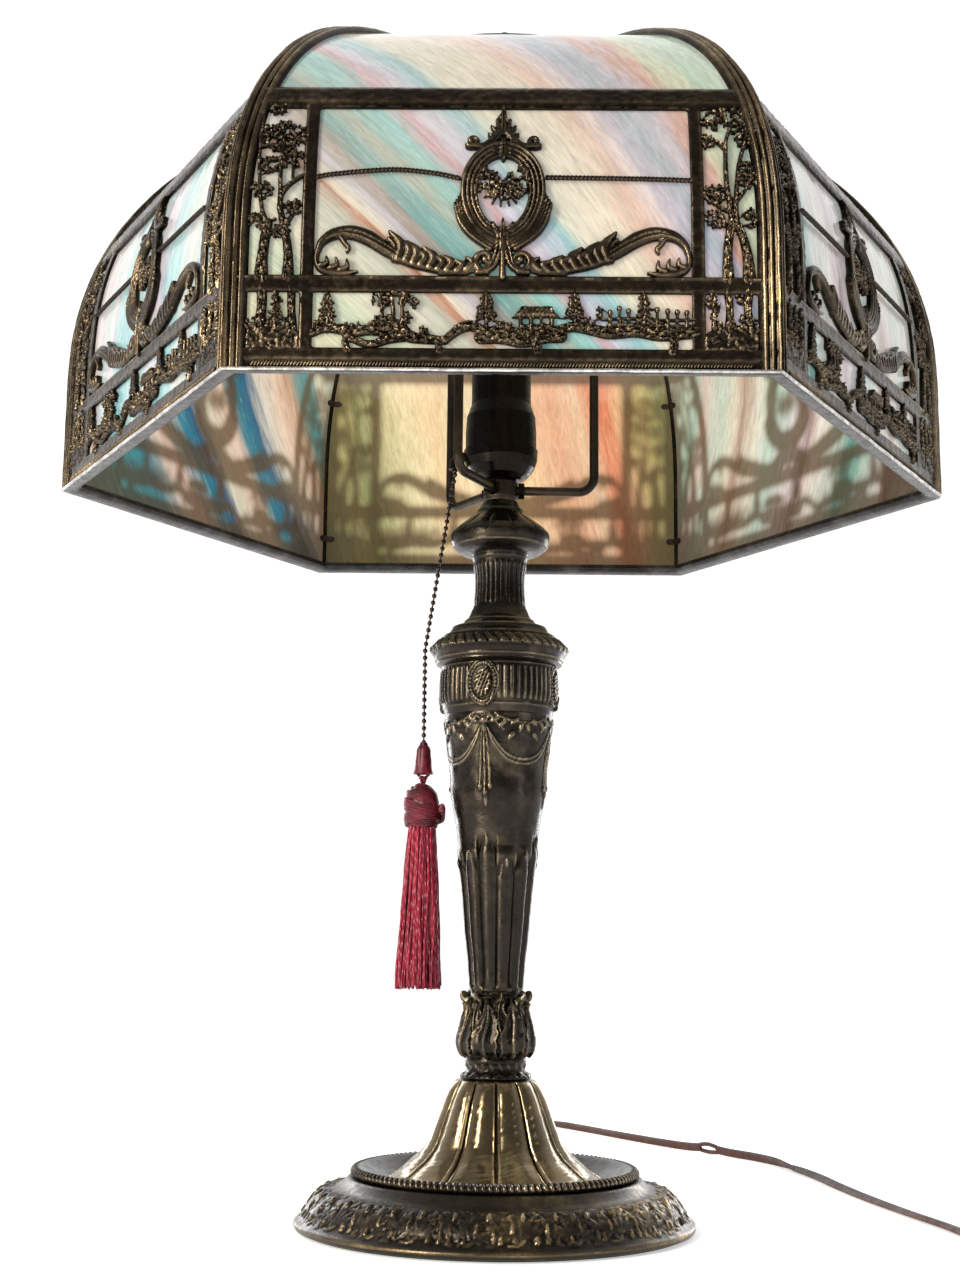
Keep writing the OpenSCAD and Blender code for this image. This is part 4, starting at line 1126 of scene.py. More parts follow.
def collar_leaves(angle, s, r, z):
    lobe = np.abs(part_of(angle, 16, FRONT))
    scallop = 0.9 * np.sqrt(np.clip(1 - lobe ** 2, 0, 1)) * hill(s - 2.2 - 1.2 * (1 - lobe), 1.7)
    beads = 0.6 * np.clip(np.cos(angle * 22 + s * 0.8), 0, 1) * hill(s - 7.6, 1.1)
    return scallop + beads - 0.2


def knop_leaves(angle, s, r, z):
    """Knop: eight tall leaves over eight more, folded lengthwise, swaying a little, tips turned out."""
    sheet = []
    for start, low, high, thick, sway in ((0, 0.0, 27.0, 1.5, 0.12), (math.pi / 8, 1.0, 30.5, 0.8, -0.14)):
        p = part_of(angle, 8, FRONT + start) + sway * np.sin(s * 0.24)
        t = np.clip((s - low) / (high - low), 0, 1)
        wide = 0.98 * np.sin(math.pi * t ** 0.62) ** 0.75 + 0.06 * np.cos(t * 30)
        wide = np.where(t >= 1, -1, np.where(t < 0.3, np.maximum(wide, 0.9), wide))
        edge = (wide - np.abs(p)) * r * math.pi / 8
        q = p / np.maximum(wide, 0.2)
        rib = 0.75 * hill(p * r * 0.39, 0.5)
        folds = 0.36 * np.cos(q * 7.4) * step(0.1, 0.9, edge) * (1 - 0.6 * t)
        rim = 0.4 * hill(edge - 0.55, 0.35)
        turn = 1.1 * step(0.8, 0.97, t) * hill(p, 0.4)
        sheet.append(np.where(edge > 0, thick * step(0, 0.6, edge) + rib + folds + rim + turn, -1.1))
    return np.maximum(*sheet) - 0.35 + 0.12 * lattice(angle * r, s, 1.6, 5)


def shaft_relief(angle, s, r, z):
    """Shaft: reeds rising to pointed tips below; above, knots with ribbons, drops and double swags."""
    p = part_of(angle, 12, FRONT)
    number = np.floor((angle - FRONT) * 12 / TAU + 0.5) % 3
    top = np.select([number == 0, number == 1], [177.5, 167.0], 170.5)
    wide = np.sqrt(np.clip((top - z) / 9.0, 0, 1))
    groove = np.clip(np.abs(p) / np.maximum(wide, 0.05), 0, 1.0) ** 2.3 * step(top + 1.5, top - 7.0, z)
    reed = (0.3 - 1.6 * groove) * step(0, 3, s)
    tip = 0.9 * hill(p * r * 0.26, 0.55) * hill(z - top + 2.0, 1.9)
    sheet = Relief(unrolled(angle, 22.0, 4), z)
    for x, low in ((-2.2, 200.5), (0.1, 198.0), (2.4, 201.0)):
        sheet.stroke([(x * 0.2, 230), (x * 0.7, 216), (x, low)], [0.4, 0.42, 0.6], 1.0)
        sheet.blob(x, low - 0.6, 0.95, 1.5, 1.6)
    sheet.leaf(0.4, 200, 9.0, 2.8, -math.pi / 2, 0.9)
    for side in (-1, 1):
        for lift in (0.0, 2.1):
            sheet.stroke([(side * 0.8, 229.5), (side * 3.6, 221.4 + lift), (side * 8.4, 214.4 + lift),
                          (side * 13.0, 211.6 + lift), (side * 17.3, 210.8 + lift)],
                         [0.35, 0.5, 0.55, 0.5], 0.85)
        sheet.stroke([(side * 0.6, 230.8), (side * 3.0, 232.8), (side * 4.0, 230.6), (side * 0.8, 230.0)],
                     [0.5, 0.6, 0.5], 1.2)
        sheet.stroke([(side * 3.4, 231.5), (side * 6.4, 228.6), (side * 8.2, 226.4)], [0.45, 0.5, 0.3], 0.9)
        sheet.stroke([(side * 5, 233.8), (side * 10, 231.0), (side * 17.3, 229.8)], [0.4, 0.5, 0.45], 0.8)
        for x, up, lean in ((9.2, 230.6, -0.85), (12.8, 225.4, -0.95), (16.2, 229.6, -1.3),
                            (6.8, 232.4, -0.6), (14.4, 231.6, -0.7)):
            sheet.leaf(side * x, up, 4.2, 1.7, lean if side < 0 else math.pi - lean, 1.35)
    sheet.blob(0, 230.8, 1.6, 1.8)
    drawn = sheet.height.reshape(s.shape)
    return np.where(drawn > 0, drawn, reed + tip) + 0.1 * lattice(angle * r, z, 4, 6)


def band_relief(angle, s, r, z):
    """Urn band: fine reeds, and four oval medallions of foliage in beaded frames."""
    x = unrolled(angle, 27.9, 4)
    middle = 248.4
    oval = np.hypot(x / 7.6, (z - middle) / 10.6)
    reed = 0.65 * np.cos(angle * 28) ** 2 * step(240, 241.6, z) * (1 - step(255.8, 257.4, z))
    sheet = Relief(x, z)
    for n in range(30):
        a = TAU * n / 30
        sheet.blob(6.1 * math.cos(a), middle + 9.0 * math.sin(a), 0.82, 1.0)
    for n in range(-3, 4):
        for m in range(-2, 3):
            cx, cz = 1.5 * m + 0.9 * n, middle + 2.2 * n - 1.5 * m
            if math.hypot(cx / 4.4, (cz - middle) / 7.2) < 1:
                sheet.leaf(cx - 0.6, cz - 1.2, 3.4, 1.5, 1.05 + 0.25 * m, 1.35)
    sheet.stroke([(5.4, 244.6), (3.9, 240.4), (1.4, 237.0), (-0.4, 235.4)], [0.5, 0.65, 0.6], 1.5)
    ring = 0.55 * hill((oval - 1.0) * 8, 0.8)
    edges = 0.35 * hill(z - 238.6, 0.8) + 0.4 * hill(z - 258.2, 0.6)
    return np.where(oval < 1.04, sheet.height.reshape(s.shape) - 0.3 * (oval < 0.93) + ring, reed + edges)


def shoulder_relief(angle, s, r, z):
    """Shoulder: slanting leaves, a row of bright drops under them, a ring above."""
    leaves = step(265.8, 266.8, z) * (1 - step(271.0, 272.0, z)) * (s > 5)
    slant = angle * 19 + s * 0.34
    leaf = 1.25 * np.abs(np.cos(slant)) ** 0.7 + 0.3 * np.cos(slant * 6)
    drops = 0.6 * np.clip(np.cos(angle * 38 + s * 0.8), 0, 1) ** 1.5 * hill(z - 266.8, 1.0) * (s > 5)
    ring = 0.75 * hill(z - 273.2, 0.8) + 0.55 * hill(z - 277.6, 0.7) + 0.5 * hill(z - 281.2, 0.7)
    under = 0.45 * hill(z - 262, 0.5) * (s < 5) + 0.4 * hill(z - 260.2, 0.35) * (s < 5)
    return leaf * leaves * 0.8 + drops + ring + under


def neck_relief(angle, s, r, z):
    reed = np.sqrt(np.abs(np.cos(angle * 13)))
    return 0.55 * reed * step(288, 291, z) * (1 - step(308, 311, z)) + 0.3 * hill(z - 312.4, 0.6)


def cap_relief(angle, s, r, z):
    lobes = 0.7 * np.sqrt(np.abs(np.cos(angle * 6))) * step(321.5, 325, z) * (1 - step(331, 335, z))
    rings = 0.5 * hill(z - 318.4, 0.5) + 0.4 * hill(z - 336.6, 0.6)
    return lobes + rings + 0.12 * lattice(angle * 12, s, 3, 8)


COLUMN = (
    ("base_casting", leaf_band, 900, 0.6,
     [(88, 1), (91, 1), (91, 3.5), (88.6, 5.8), (86.8, 7.6), (84.8, 11.0), (82.2, 14.2), (79.4, 16.6),
      (77.6, 17.3), (76.4, 17.0), (74.4, 17.4), (71.4, 18.8), (68.9, 20.9), (67.4, 22.4), (66.0, 22.9),
      (64.0, 22.4), (62.4, 21.0), (61.5, 19.8)],
     [(BORE, 19.8), (BORE, 17), (14, 17), (60, 16.2), (73, 14.6), (79, 10.4), (84, 5), (87, 1)]),
    ("saucer_casting", rope_lip, 1184, 0.75,
     [(61, 19.8), (63.4, 22.4), (65.2, 23.6), (65.8, 24.9), (65.3, 26.2), (63.4, 27.2), (60, 26.4),
      (54, 23.8), (48.8, 21.4)],
     [(BORE, 21.4), (BORE, 19.8)]),
    ("petal_bell", petals, 540, 0.7,
     [(48.4, 21.4), (48.4, 22.6), (44, 24.6), (36, 30), (32.7, 33.3), (30, 37), (28.2, 41), (26.6, 45),
      (24.5, 50.5), (22.4, 56), (20, 61.5), (17.6, 66)],
     [(BORE, 66), (BORE, 62.5), (15.4, 62.5), (20, 55), (24, 44.5), (27.6, 36), (34, 28.4), (41.5, 23.4),
      (45, 21.4)]),
    ("leaf_collar", collar_leaves, 360, 0.45,
     [(16, 66), (16.6, 67.4), (14.4, 69.2), (13.8, 72), (14.6, 74.6), (13.9, 76.8)],
     [(BORE, 76.8), (BORE, 66)]),
    ("acanthus_knop", knop_leaves, 420, 0.45,
     [(14.2, 76.8), (16.2, 79), (17, 82), (16.9, 85), (15.9, 89), (14.9, 93), (13.9, 97), (13.7, 101),
      (14.8, 103.6), (13.2, 105.4), (12.6, 106.6)], [(BORE, 106.6), (BORE, 76.8)]),
    ("fluted_shaft", shaft_relief, 420, 0.62,
     [(12.6, 106.6), (13.6, 120), (15.3, 134), (16.5, 148), (18.7, 168), (18.6, 174), (20, 185), (22.1, 196),
      (22.7, 208), (23.9, 219), (25.7, 235)], [(BORE, 235), (BORE, 106.6)]),
    ("urn_band", band_relief, 448, 0.45,
     [(25.7, 235), (26.9, 239.4), (27.9, 243), (28.1, 248), (27.9, 253), (27.5, 259)],
     [(BORE, 259), (BORE, 235)]),
    ("urn_shoulder", shoulder_relief, 480, 0.5,
     [(28.4, 259), (29.9, 260.2), (31.2, 263.2), (32.6, 265.6), (32.3, 267.2), (30.4, 269.4), (27.8, 272),
      (24.7, 275), (22, 278), (18, 280), (16.2, 281.6), (14.6, 284), (13.6, 286.6)],
     [(BORE, 286.6), (BORE, 259)]),
    ("neck_casting", neck_relief, 312, 0.6,
     [(13.6, 286.6), (12.5, 289), (11.8, 292.5), (11.4, 300), (11.9, 306), (13.2, 312), (13.8, 314.4)],
     [(BORE, 314.4), (BORE, 286.6)]),
    ("mushroom_cap", cap_relief, 240, 0.6,
     [(14, 314.4), (18.4, 315.2), (21.4, 316.8), (23.4, 319.6), (23.9, 322.6), (22.6, 325.6), (19.2, 328.6),
      (15.2, 331.6), (12.0, 335), (9.8, 338.4), (8.4, 341)], [(BORE, 341), (BORE, 314.4)]),
)


def make_column(bronze, others):
    """The ten castings from base to cap; others names the ones with a metal of their own, or with a darker
    copy of the bronze as painted shade.
    """
    for name, relief, around, fine, profile, inner in COLUMN:
        material = others.get(name, bronze)
        turned(name, profile, inner, material, relief, name, around=around, fine=fine)


# ---- posts, rim and wires of the shade ----

POST_RIBS = ((0.0, 0.85), (2.9, 0.85), (5.6, 1.0))


def post_depth(d):
    """Depth of the posts' face by distance from the corner."""
    rise = np.zeros_like(d)
    for middle, half in POST_RIBS:
        rise = np.maximum(rise, np.sqrt(np.clip(1 - ((d - middle) / half) ** 2, 0, 1)))
    return 1.25 - 1.3 * rise


def make_posts(material):
    """Ribbed strips over the six corners, each wrapping onto two panels."""
    face = np.linspace(0, POST - 0.5, 24)
    d = np.concatenate([face, [POST, POST, 0.0]])
    depth = np.concatenate([post_depth(face), [1.7, 2.3, 2.3]])
    w = np.linspace(SEAT_Z, W_END, 110)
    heap, raised = Heap(), []
    half = len(d)
    grid_w = np.repeat(w[:, None], half, 1)
    wear = 0.10 * lattice(grid_w * 0.9, np.tile(d, (len(w), 1)) * 3, 1.5, 3)
    dd = np.tile(depth, (len(w), 1)) + wear * (np.arange(half) < half - 2)
    u = np.maximum(half_width(grid_w, dd) - np.tile(d, (len(w), 1)), 0.0)
    right, left = on_panel(u, grid_w, dd), on_panel(-u, grid_w, dd)
    for k in PANELS:
        near = turned_about(right, panel_turn(k))[:, ::-1]
        far = turned_about(left, panel_turn(k + 1))
        ring = np.concatenate([near[:, 1:], far[:, :-1]], 1)
        ends = [ring[0].mean(0), ring[-1].mean(0)]
        heap.add(np.vstack([ring.reshape(-1, 3), ends]), capped(len(w), ring.shape[1]))
        high = step(0.75, 0.1, np.concatenate([dd[:, ::-1][:, 1:], dd[:, :-1]], 1))
        raised.append(np.concatenate([high.ravel(), [0, 0]]))
    values = np.concatenate(raised)
    mesh = heap.mesh("corner_posts", 50, {"raised": values, "sunk": 1 - values})
    place("corner_posts", mesh, "shade", material, ("corner_posts",))


def turned_about(points, angle):
    c, s = math.cos(angle), math.sin(angle)
    x, y = points[..., 0], points[..., 1]
    return np.stack([x * c - y * s, x * s + y * c, points[..., 2]], -1)


def make_rim(material):
    """The soldered channel under the glass: a rounded lip, a flat sole and an inner flange; its outer lip
    carries a painted highlight.
    """
    section = [(-7.7, 347.3), (-7.2, 346.6), (-6.2, 345.9), (-4.6, 345.4), (-2.8, 345.05), (-0.6, 345.0),
               (0.2, 345.25), (0.55, 345.75), (0.5, 346.3), (0.1, 346.7), (-0.7, 346.6), (-6.0, 346.5),
               (-6.6, 347.2), (-6.65, 349.4), (-6.9, 349.8), (-7.3, 349.85), (-7.7, 349.5), (-7.8, 348.0)]
    section = even(curve(section + section[:1], 60), 0.55)[:-1]
    along = np.linspace(0, 1, 90, endpoint=False)
    rows = []
    for k in PANELS:
        a = math.radians(240 + 60 * (k - 1))
        b = a + math.pi / 3
        for t in along:
            sag = 0.14 * lattice(t * 60 + 13 * k, section[:, 0], 2.3, 12)
            reach = (WALL_A + section[:, 0] + sag * (section[:, 0] > -2)) / math.cos(math.pi / 6)
            x = reach * (math.cos(a) * (1 - t) + math.cos(b) * t)
            y = reach * (math.sin(a) * (1 - t) + math.sin(b) * t)
            rows.append(np.stack([x, y, section[:, 1] + 0.5 * sag], -1))
    rows.append(rows[0])
    points = np.concatenate(rows)
    # The outer lip, marked as raised, takes a painted highlight line in the rim's metal.
    edge = np.tile(step(-0.05, 0.4, section[:, 0]), len(rows))
    faces = [grid_faces(len(rows), len(section), closed=True)]
    mesh = make_mesh("rim", points, faces, 50, {"raised": edge})
    place("rim_channel", mesh, "shade", material, ("rim_channel",))


def make_bead_rows(material):
    """Slanted beads along the bottom band of each panel."""
    heap, raised = Heap(), []
    n, m = 5, 8
    along = np.linspace(0.12, math.pi - 0.12, n)
    round_ = np.arange(m) * TAU / m
    r, lean, pitch = 0.52, 0.42, 1.27
    t, a = np.meshgrid(-np.cos(along), round_, indexing="ij")
    size = r * np.sin(along)[:, None]
    for u0 in np.arange(-96.5, 97, pitch):
        length = 1.75 + 0.2 * math.sin(u0 * 5)
        u = u0 + t * length * math.sin(lean) + size * np.cos(a) * math.cos(lean)
        w = 348.5 + t * length * math.cos(lean) * 0.85 - size * np.cos(a) * math.sin(lean)
        depth = 1.15 - size * np.sin(a) * 1.35
        p = on_panel(u, w, depth).reshape(-1, 3)
        ends = on_panel(np.array([u[0].mean(), u[-1].mean()]), np.array([w[0].mean(), w[-1].mean()]),
                        np.array([1.15, 1.15]))
        heap.add(np.vstack([p, ends]), capped(n, m, flip=True))
        raised.append(np.concatenate([step(0.2, 0.9, np.sin(a)).ravel(), [0.2, 0.2]]))
    mesh = heap.mesh("bead_row", 60, {"raised": np.concatenate(raised)})
    for k in PANELS:
        place(f"bead_row_{k}", mesh, "shade", material, turn=panel_turn(k))


def height_to_along(z):
    return np.interp(z, W_Z, W)


def twisted_wire(heap, points):
    """Two thin strands twisted together along a line of u and z on the panel's face."""
    line = even(curve([(u, height_to_along(z)) for u, z in points], 40), 0.5)
    path = on_panel(line[:, 0], line[:, 1], 1.5)
    _, side, top = frames(path)
    turn = np.arange(len(path)) * 0.5 / 3.2 * TAU
    for start in (0, math.pi):
        off = 0.56 * (np.cos(turn + start)[:, None] * side + np.sin(turn + start)[:, None] * top)
        heap.add(*swept(path + off, round_section(0.62, 8)))


def make_wires(material):
    """Twisted wires from the uprights to the middle ornament; the front left one sags in an arch."""
    arched = [(-74.5, 426.0), (-66, 427.6), (-44, 429.6), (-28, 428.2), (-17, 425.8)]
    straight = [(17, 426.4), (40, 426.2), (60, 425.9), (74.5, 425.4)]
    plain = [(-74.5, 425.6), (-50, 426.1), (-17, 426.2)]
    for k in PANELS:
        heap = Heap()
        twisted_wire(heap, arched if k == 1 else plain)
        twisted_wire(heap, straight)
        place(f"twisted_wire_{k}", heap.mesh(f"wire_{k}", 60), "shade", material,
              turn=panel_turn(k))


# ---- crown, cap and finial ----

def ring_beads(angle, s, r, z):
    return 0.35 * hill(r - 84.4, 0.8) + 0.28 * hill(r - 66, 0.6) + 0.1 * lattice(angle * 40, s, 3, 2)


def finial_relief(angle, s, r, z):
    lobes = 0.35 * np.abs(np.cos(angle * 6)) * step(568.5, 571, z) * (1 - step(581, 584, z))
    milled = 0.22 * np.cos(angle * 36) * hill(z - 562.8, 0.9)
    return lobes + milled


def make_crown(bronze, gilt):
    turned("crown_ring", [(86, 541.0), (85.6, 542.3), (84, 542.9), (78, 543.4), (72, 544), (66, 544.6),
                          (60, 545.0), (51.6, 545)],
           [(51.4, 544.6), (51.4, 536.6), (58, 536.6), (58, 541.2), (72, 541.2), (84, 540.2), (86, 540.5)],
           bronze, ring_beads, "crown_ring", body="shade", around=300)
    turned("finial", [(7.4, 560.8), (9.8, 562), (9.8, 563.6), (7, 565.4), (6.3, 567.6), (7.6, 570),
                      (9.6, 573.4), (10.2, 577), (9.2, 580.8), (6.4, 584), (3.6, 585.6), (3.4, 587.4),
                      (2.2, 589.4), (0.05, 590)],
           [(0.02, 589.9), (0.02, 575), (3.7, 575), (3.7, 560.8)], gilt, finial_relief, "finial",
           "finial", around=216, fine=0.45)


# ---- pull chain and tassel ----

LINK_X, HANG_X = -22.5, -35.8
CHAIN = [(LINK_X, 355.0), (HANG_X, 268.0), (HANG_X, 222.6)]
BEAD_R, PITCH = 1.2, 3.4


def bead(heap, x, z, r=BEAD_R):
    """One bead with softly flattened faces and a collar at each hole."""
    n, m = 9, 14
    t = np.linspace(0.22, math.pi - 0.22, n)
    a = np.arange(m) * TAU / m
    size = r * np.sin(t) * (1 - 0.03 * np.cos(4 * t))
    px = x + size[:, None] * np.cos(a)[None]
    py = size[:, None] * np.sin(a)[None]
    pz = np.repeat((z - r * np.cos(t))[:, None], m, 1)
    p = np.stack([px, py, pz], -1).reshape(-1, 3)
    heap.add(np.vstack([p, [(x, 0, z - r * 0.93), (x, 0, z + r * 0.93)]]), capped(n, m))


def make_chain(material):
    line = even(np.array(CHAIN), PITCH)
    heap = Heap()
    for x, z in line:
        bead(heap, x, z)
    heap.add(*swept([(x, 0, z) for x, z in line], round_section(0.42, 8), up=(0, 1, 0)))
    place("bead_chain", heap.mesh("bead_chain", 60), "chain", material, ("bead_chain",))
    link = Heap()
    for z in (360.4, 357.0):
        bead(link, LINK_X, z)
    link.add(*swept([(LINK_X, 0, z) for z in (363.4, 360, 356.6)], round_section(0.42, 8), up=(0, 1, 0)))
    place("pull_link", link.mesh("pull_link", 60), "pull_link", material, ("pull_link",))


def thread_wraps(angle, s, r, z):
    """Bell: a cap of petals bound with thread."""
    lobe = 0.5 * np.abs(np.cos(angle * 2.5 + 0.4)) ** 0.7 * step(1, 6, s)
    thread = 0.16 * np.abs(np.sin(s * 3.6 + angle)) * step(6, 9, s)
    return lobe + thread


def make_bell(material):
    profile = [(4.9, 207.4), (4.5, 208.6), (3.6, 211.6), (3.4, 214), (3.0, 216), (2.9, 218), (2.6, 219.4),
               (1.6, 220.8), (1.2, 222.0), (0.05, 222.3)]
    inner = [(0.02, 222), (0.02, 211.4), (2.8, 211.4), (4.4, 207.4)]
    turned("chain_bell", profile, inner, material, thread_wraps, "chain_bell", "tassel",
           around=120, fine=0.35, at=(HANG_X, 0))


def add_strand(heap, path, r, sides=6):
    heap.add(*swept(path, round_section(r, sides), up=(0.3, 1, 0.1)))


def make_loop(material):
    """Two cords hanging out of the bell, twisting together above the knot."""
    heap = Heap()
    z = np.linspace(212.2, 200.6, 40)
    gap = 1.9 * step(202.8, 208.6, z) + 0.85
    for start in (0, math.pi):
        a = start + (212 - z) * 0.62 * (1 - step(204, 207, z)) * 1.3
        x = HANG_X + gap * np.cos(a) * (0.72 + 0.28 * step(203, 207, z))
        y = gap * np.sin(a) * 0.8
        for m in range(3):
            b = z * 2.4 + m * TAU / 3
            add_strand(heap, np.stack([x + 0.42 * np.cos(b), y + 0.42 * np.sin(b), z], -1), 0.42, 7)
    place("tassel_loop", heap.mesh("tassel_loop", 60), "tassel", material, ("tassel_loop",))


def make_head(material):
    """A knot of many silk threads: bundles wound over each other, one end standing out to the right."""
    heap = Heap()
    rng = np.random.default_rng(3)
    core = [(0.05, 182.2), (6.0, 182.4), (7.1, 185), (8.0, 190), (7.8, 194), (6.8, 197.6), (4.6, 200.6),
            (2.0, 202.4), (0.05, 202.6)]
    line = even(curve(core, 90), 0.5)
    a = np.arange(96) * TAU / 96
    bulk = 0.35 * lattice(np.cos(a)[None] * 9 + 30, line[:, 1:], 3.1, 8)
    r = np.maximum(line[:, :1] + bulk, 0.02)
    p = np.stack([HANG_X + r * np.cos(a), r * np.sin(a), np.repeat(line[:, 1:], 96, 1)], -1)
    heap.add(p.reshape(-1, 3), [grid_faces(len(line), 96, closed=True)])
    bands = ((183.6, 6.9, 0.10, 9), (187.0, 8.3, 0.40, 12), (190.6, 8.6, -0.55, 12), (194.6, 7.4, 0.5, 11),
             (198.0, 5.6, -0.4, 8), (200.6, 3.4, 0.2, 5))
    for z0, radius, lean, threads in bands:
        start = rng.uniform(0, TAU)
        for n in range(threads):
            t = np.linspace(0, TAU * 1.06, 46)
            off = (n - threads / 2) * 0.52
            rr = radius + 0.75 * np.cos((n - threads / 2) / threads * 2.6) - 0.5 + 0.12 * rng.normal()
            z = z0 + off + lean * 5.0 * np.sin(t + start) + 0.15 * np.sin(7 * t + n)
            fit = np.interp(z, line[:, 1], line[:, 0])
            rr = np.minimum(rr, fit + 1.7)
            add_strand(heap, np.stack([HANG_X + rr * np.cos(t), rr * np.sin(t), z], -1), 0.36, 5)
    for n in range(16):
        lift = rng.uniform(-1, 1, 3)
        foot = np.array([HANG_X + 5.0, -2.2, 187.2]) + lift * (0.8, 1.2, 2.2)
        bow = np.array([HANG_X + 9.6, -3.6, 190.8]) + lift * (0.5, 1.0, 2.2)
        tip = np.array([HANG_X + 9.4, -1.0, 185.6]) + lift * (0.8, 1.4, 1.6)
        end = np.array([HANG_X + 5.4, 0.4, 184.6]) + lift * (0.5, 1.0, 0.8)
        add_strand(heap, curve([foot, bow, tip, end], 20), 0.42, 6)
    place("tassel_head", heap.mesh("tassel_head", 60), "tassel", material, ("tassel_head",))


def make_skirt(material):
    """Hanging threads in loose locks with uneven ends."""
    heap = Heap()
    rng = np.random.default_rng(11)
    lock_shade_and_tone = []
    rows, sides = 22, 5
    for n in range(330):
        share = math.sqrt(rng.uniform(0.02, 1)) if n > 150 else rng.uniform(0.92, 1.0)
        a = rng.uniform(0, TAU)
        lock = round((a + 0.1) / (TAU / 17)) * (TAU / 17)
        a = a + 0.5 * (lock - a)
        low = 106.4 + rng.uniform(0, 3.4) + 2.2 * (rng.uniform() > 0.86) * rng.uniform()
        t = np.linspace(0, 1, rows)
        ridge = 1 - 0.13 * min(1.0, abs(a - lock) * 17 / TAU * 2)
        r_top, r_low = 6.0 * share * ridge, 10.8 * share * ridge
        r = r_top + (r_low - r_top) * t ** 0.85 + 0.35 * np.sin(t * 9 + n) * share
        b = a + 0.10 * np.sin(t * 5 + n * 1.7) + rng.normal(0, 0.05) * t
        x = HANG_X + r * np.cos(b) - 0.9 * t
        z = 184.0 - (184.0 - low) * t
        path = np.stack([x, r * np.sin(b), z], -1)
        points, faces = swept(path, round_section(0.52, sides), up=(0.2, 1, 0.1),
                              twist=t * 18 + n, scale=1 - 0.25 * step(0.93, 1.0, t))
        heap.add(points, faces)
        # Threads between the locks and deep in the skirt get low values, for painted shade in the silk, with
        # a random spread per thread.
        depth = step(0.9, 0.2, abs(((a - lock) * 17 / TAU)) * 2) * share
        lock_shade_and_tone.append(np.full(len(points), np.clip(0.85 * depth + rng.normal(0, 0.16), 0, 1)))
    mesh = heap.mesh("tassel_skirt", 60, {"lock_shade_and_tone": np.concatenate(lock_shade_and_tone)})
    place("tassel_skirt", mesh, "tassel", material, ("tassel_skirt",))


# ---- plug and bushing ----

PLUG_X, PLUG_Z = PLUG_AT[0], PLUG_AT[2]
HOLE_Y = 6.8                            # middle of the hole in each blade


def rounded_ring(half_x, half_z, corner, count=8):
    """Points of a rounded rectangle, sideways and up, anticlockwise."""
    ring = []
    for n, (sx, sz) in enumerate(((1, 1), (-1, 1), (-1, -1), (1, -1))):
        for t in np.linspace(0, math.pi / 2, count):
            a = t + n * math.pi / 2
            ring.append((sx * (half_x - corner) + corner * math.cos(a),
                         sz * (half_z - corner) + corner * math.sin(a)))
    return np.array(ring)


def make_plug(body_material, blade_material):
    """A moulded two blade plug: grip ribs, waist and strain relief; each blade has a hole."""
    stations = [(-46.2, 2.9, 2.2, 1.6), (-45.6, 3.3, 2.5, 1.8)]
    for n in range(7):
        y = -44.6 + 2.0 * n
        grow = n / 6
        for on, wide, high, corner in ((0, 3.7, 2.7, 2.2), (0.9, 3.8, 2.8, 2.3), (1.1, 3.2, 2.3, 2.0),
                                       (1.8, 3.3, 2.4, 2.0)):
            stations.append((y + on, wide + 1.2 * grow, high + 1.2 * grow, corner))
    stations += [(-30.2, 5.4, 4.2, 3.2), (-29.4, 6.6, 5.0, 3.6), (-27, 8.0, 5.9, 3.8), (-24, 8.4, 6.2, 3.6)]
    for y in (-22.5, -20.1, -17.7, -15.3, -12.9):
        stations += [(y, 8.4, 6.2, 3.4), (y + 0.3, 7.9, 5.7, 3.2), (y + 1.1, 7.9, 5.7, 3.2),
                     (y + 1.4, 8.4, 6.2, 3.4)]
    stations += [(-9, 8.5, 6.4, 2.6), (-6.9, 8.5, 6.5, 2.2), (-6.2, 8.2, 6.2, 2.0), (-6.0, 7.8, 5.8, 1.8)]
    rows = []
    for y, hx, hz, c in stations:
        ring = rounded_ring(hx, hz, min(c, hx - 0.1, hz - 0.1))
        rows.append(np.stack([PLUG_X + ring[:, 0], np.full(len(ring), y), PLUG_Z + ring[:, 1]], -1))
    points = np.vstack([np.concatenate(rows), [rows[0].mean(0), rows[-1].mean(0)]])
    mesh = make_mesh("plug", points, capped(len(rows), len(rows[0]), flip=True), 40)
    plug = place("moulded_plug", mesh, "lamp", body_material, ("plug",))
    heap = Heap()
    for side in (-1, 1):
        add_blade(heap, PLUG_X + side * 6.35)
    return [plug, place("plug_blades", heap.mesh("plug_blades", 35), "lamp", blade_material)]


def add_blade(heap, x):
    """A flat blade with a rounded end and a round hole."""
    count, hole_r, half_thick = 32, 1.55, 0.75
    a = np.arange(count) * TAU / count
    hole = np.stack([HOLE_Y + hole_r * np.cos(a), hole_r * np.sin(a)], -1)
    outer = np.array([blade_edge(t) for t in a])
    rings = []
    for px in (x - half_thick, x + half_thick):
        rings.append(np.stack([np.full(count, px), outer[:, 0], PLUG_Z + outer[:, 1]], -1))
        rings.append(np.stack([np.full(count, px), hole[:, 0], PLUG_Z + hole[:, 1]], -1))
    points = np.concatenate([rings[0], rings[1], rings[3], rings[2], rings[0]])
    heap.add(points, [grid_faces(5, count, closed=True)])


def blade_edge(angle):
    """A point of the blade's outline, seen from the hole in the given direction."""
    low, high, half, corner = -7.0, 10.0, 3.2, 1.4
    c, s = math.cos(angle), math.sin(angle)
    reach = half / max(abs(s), 1e-9)
    if abs(c) > 1e-6:
        reach = min(reach, ((high if c > 0 else low) - HOLE_Y) / c)
    y, z = HOLE_Y + reach * c, reach * s
    cut = max(0.0, (y - (high - corner)) / corner) * max(0.0, (abs(z) - (half - corner)) / corner)
    return y - 0.4 * cut * corner, z - math.copysign(0.4 * cut * corner, z)


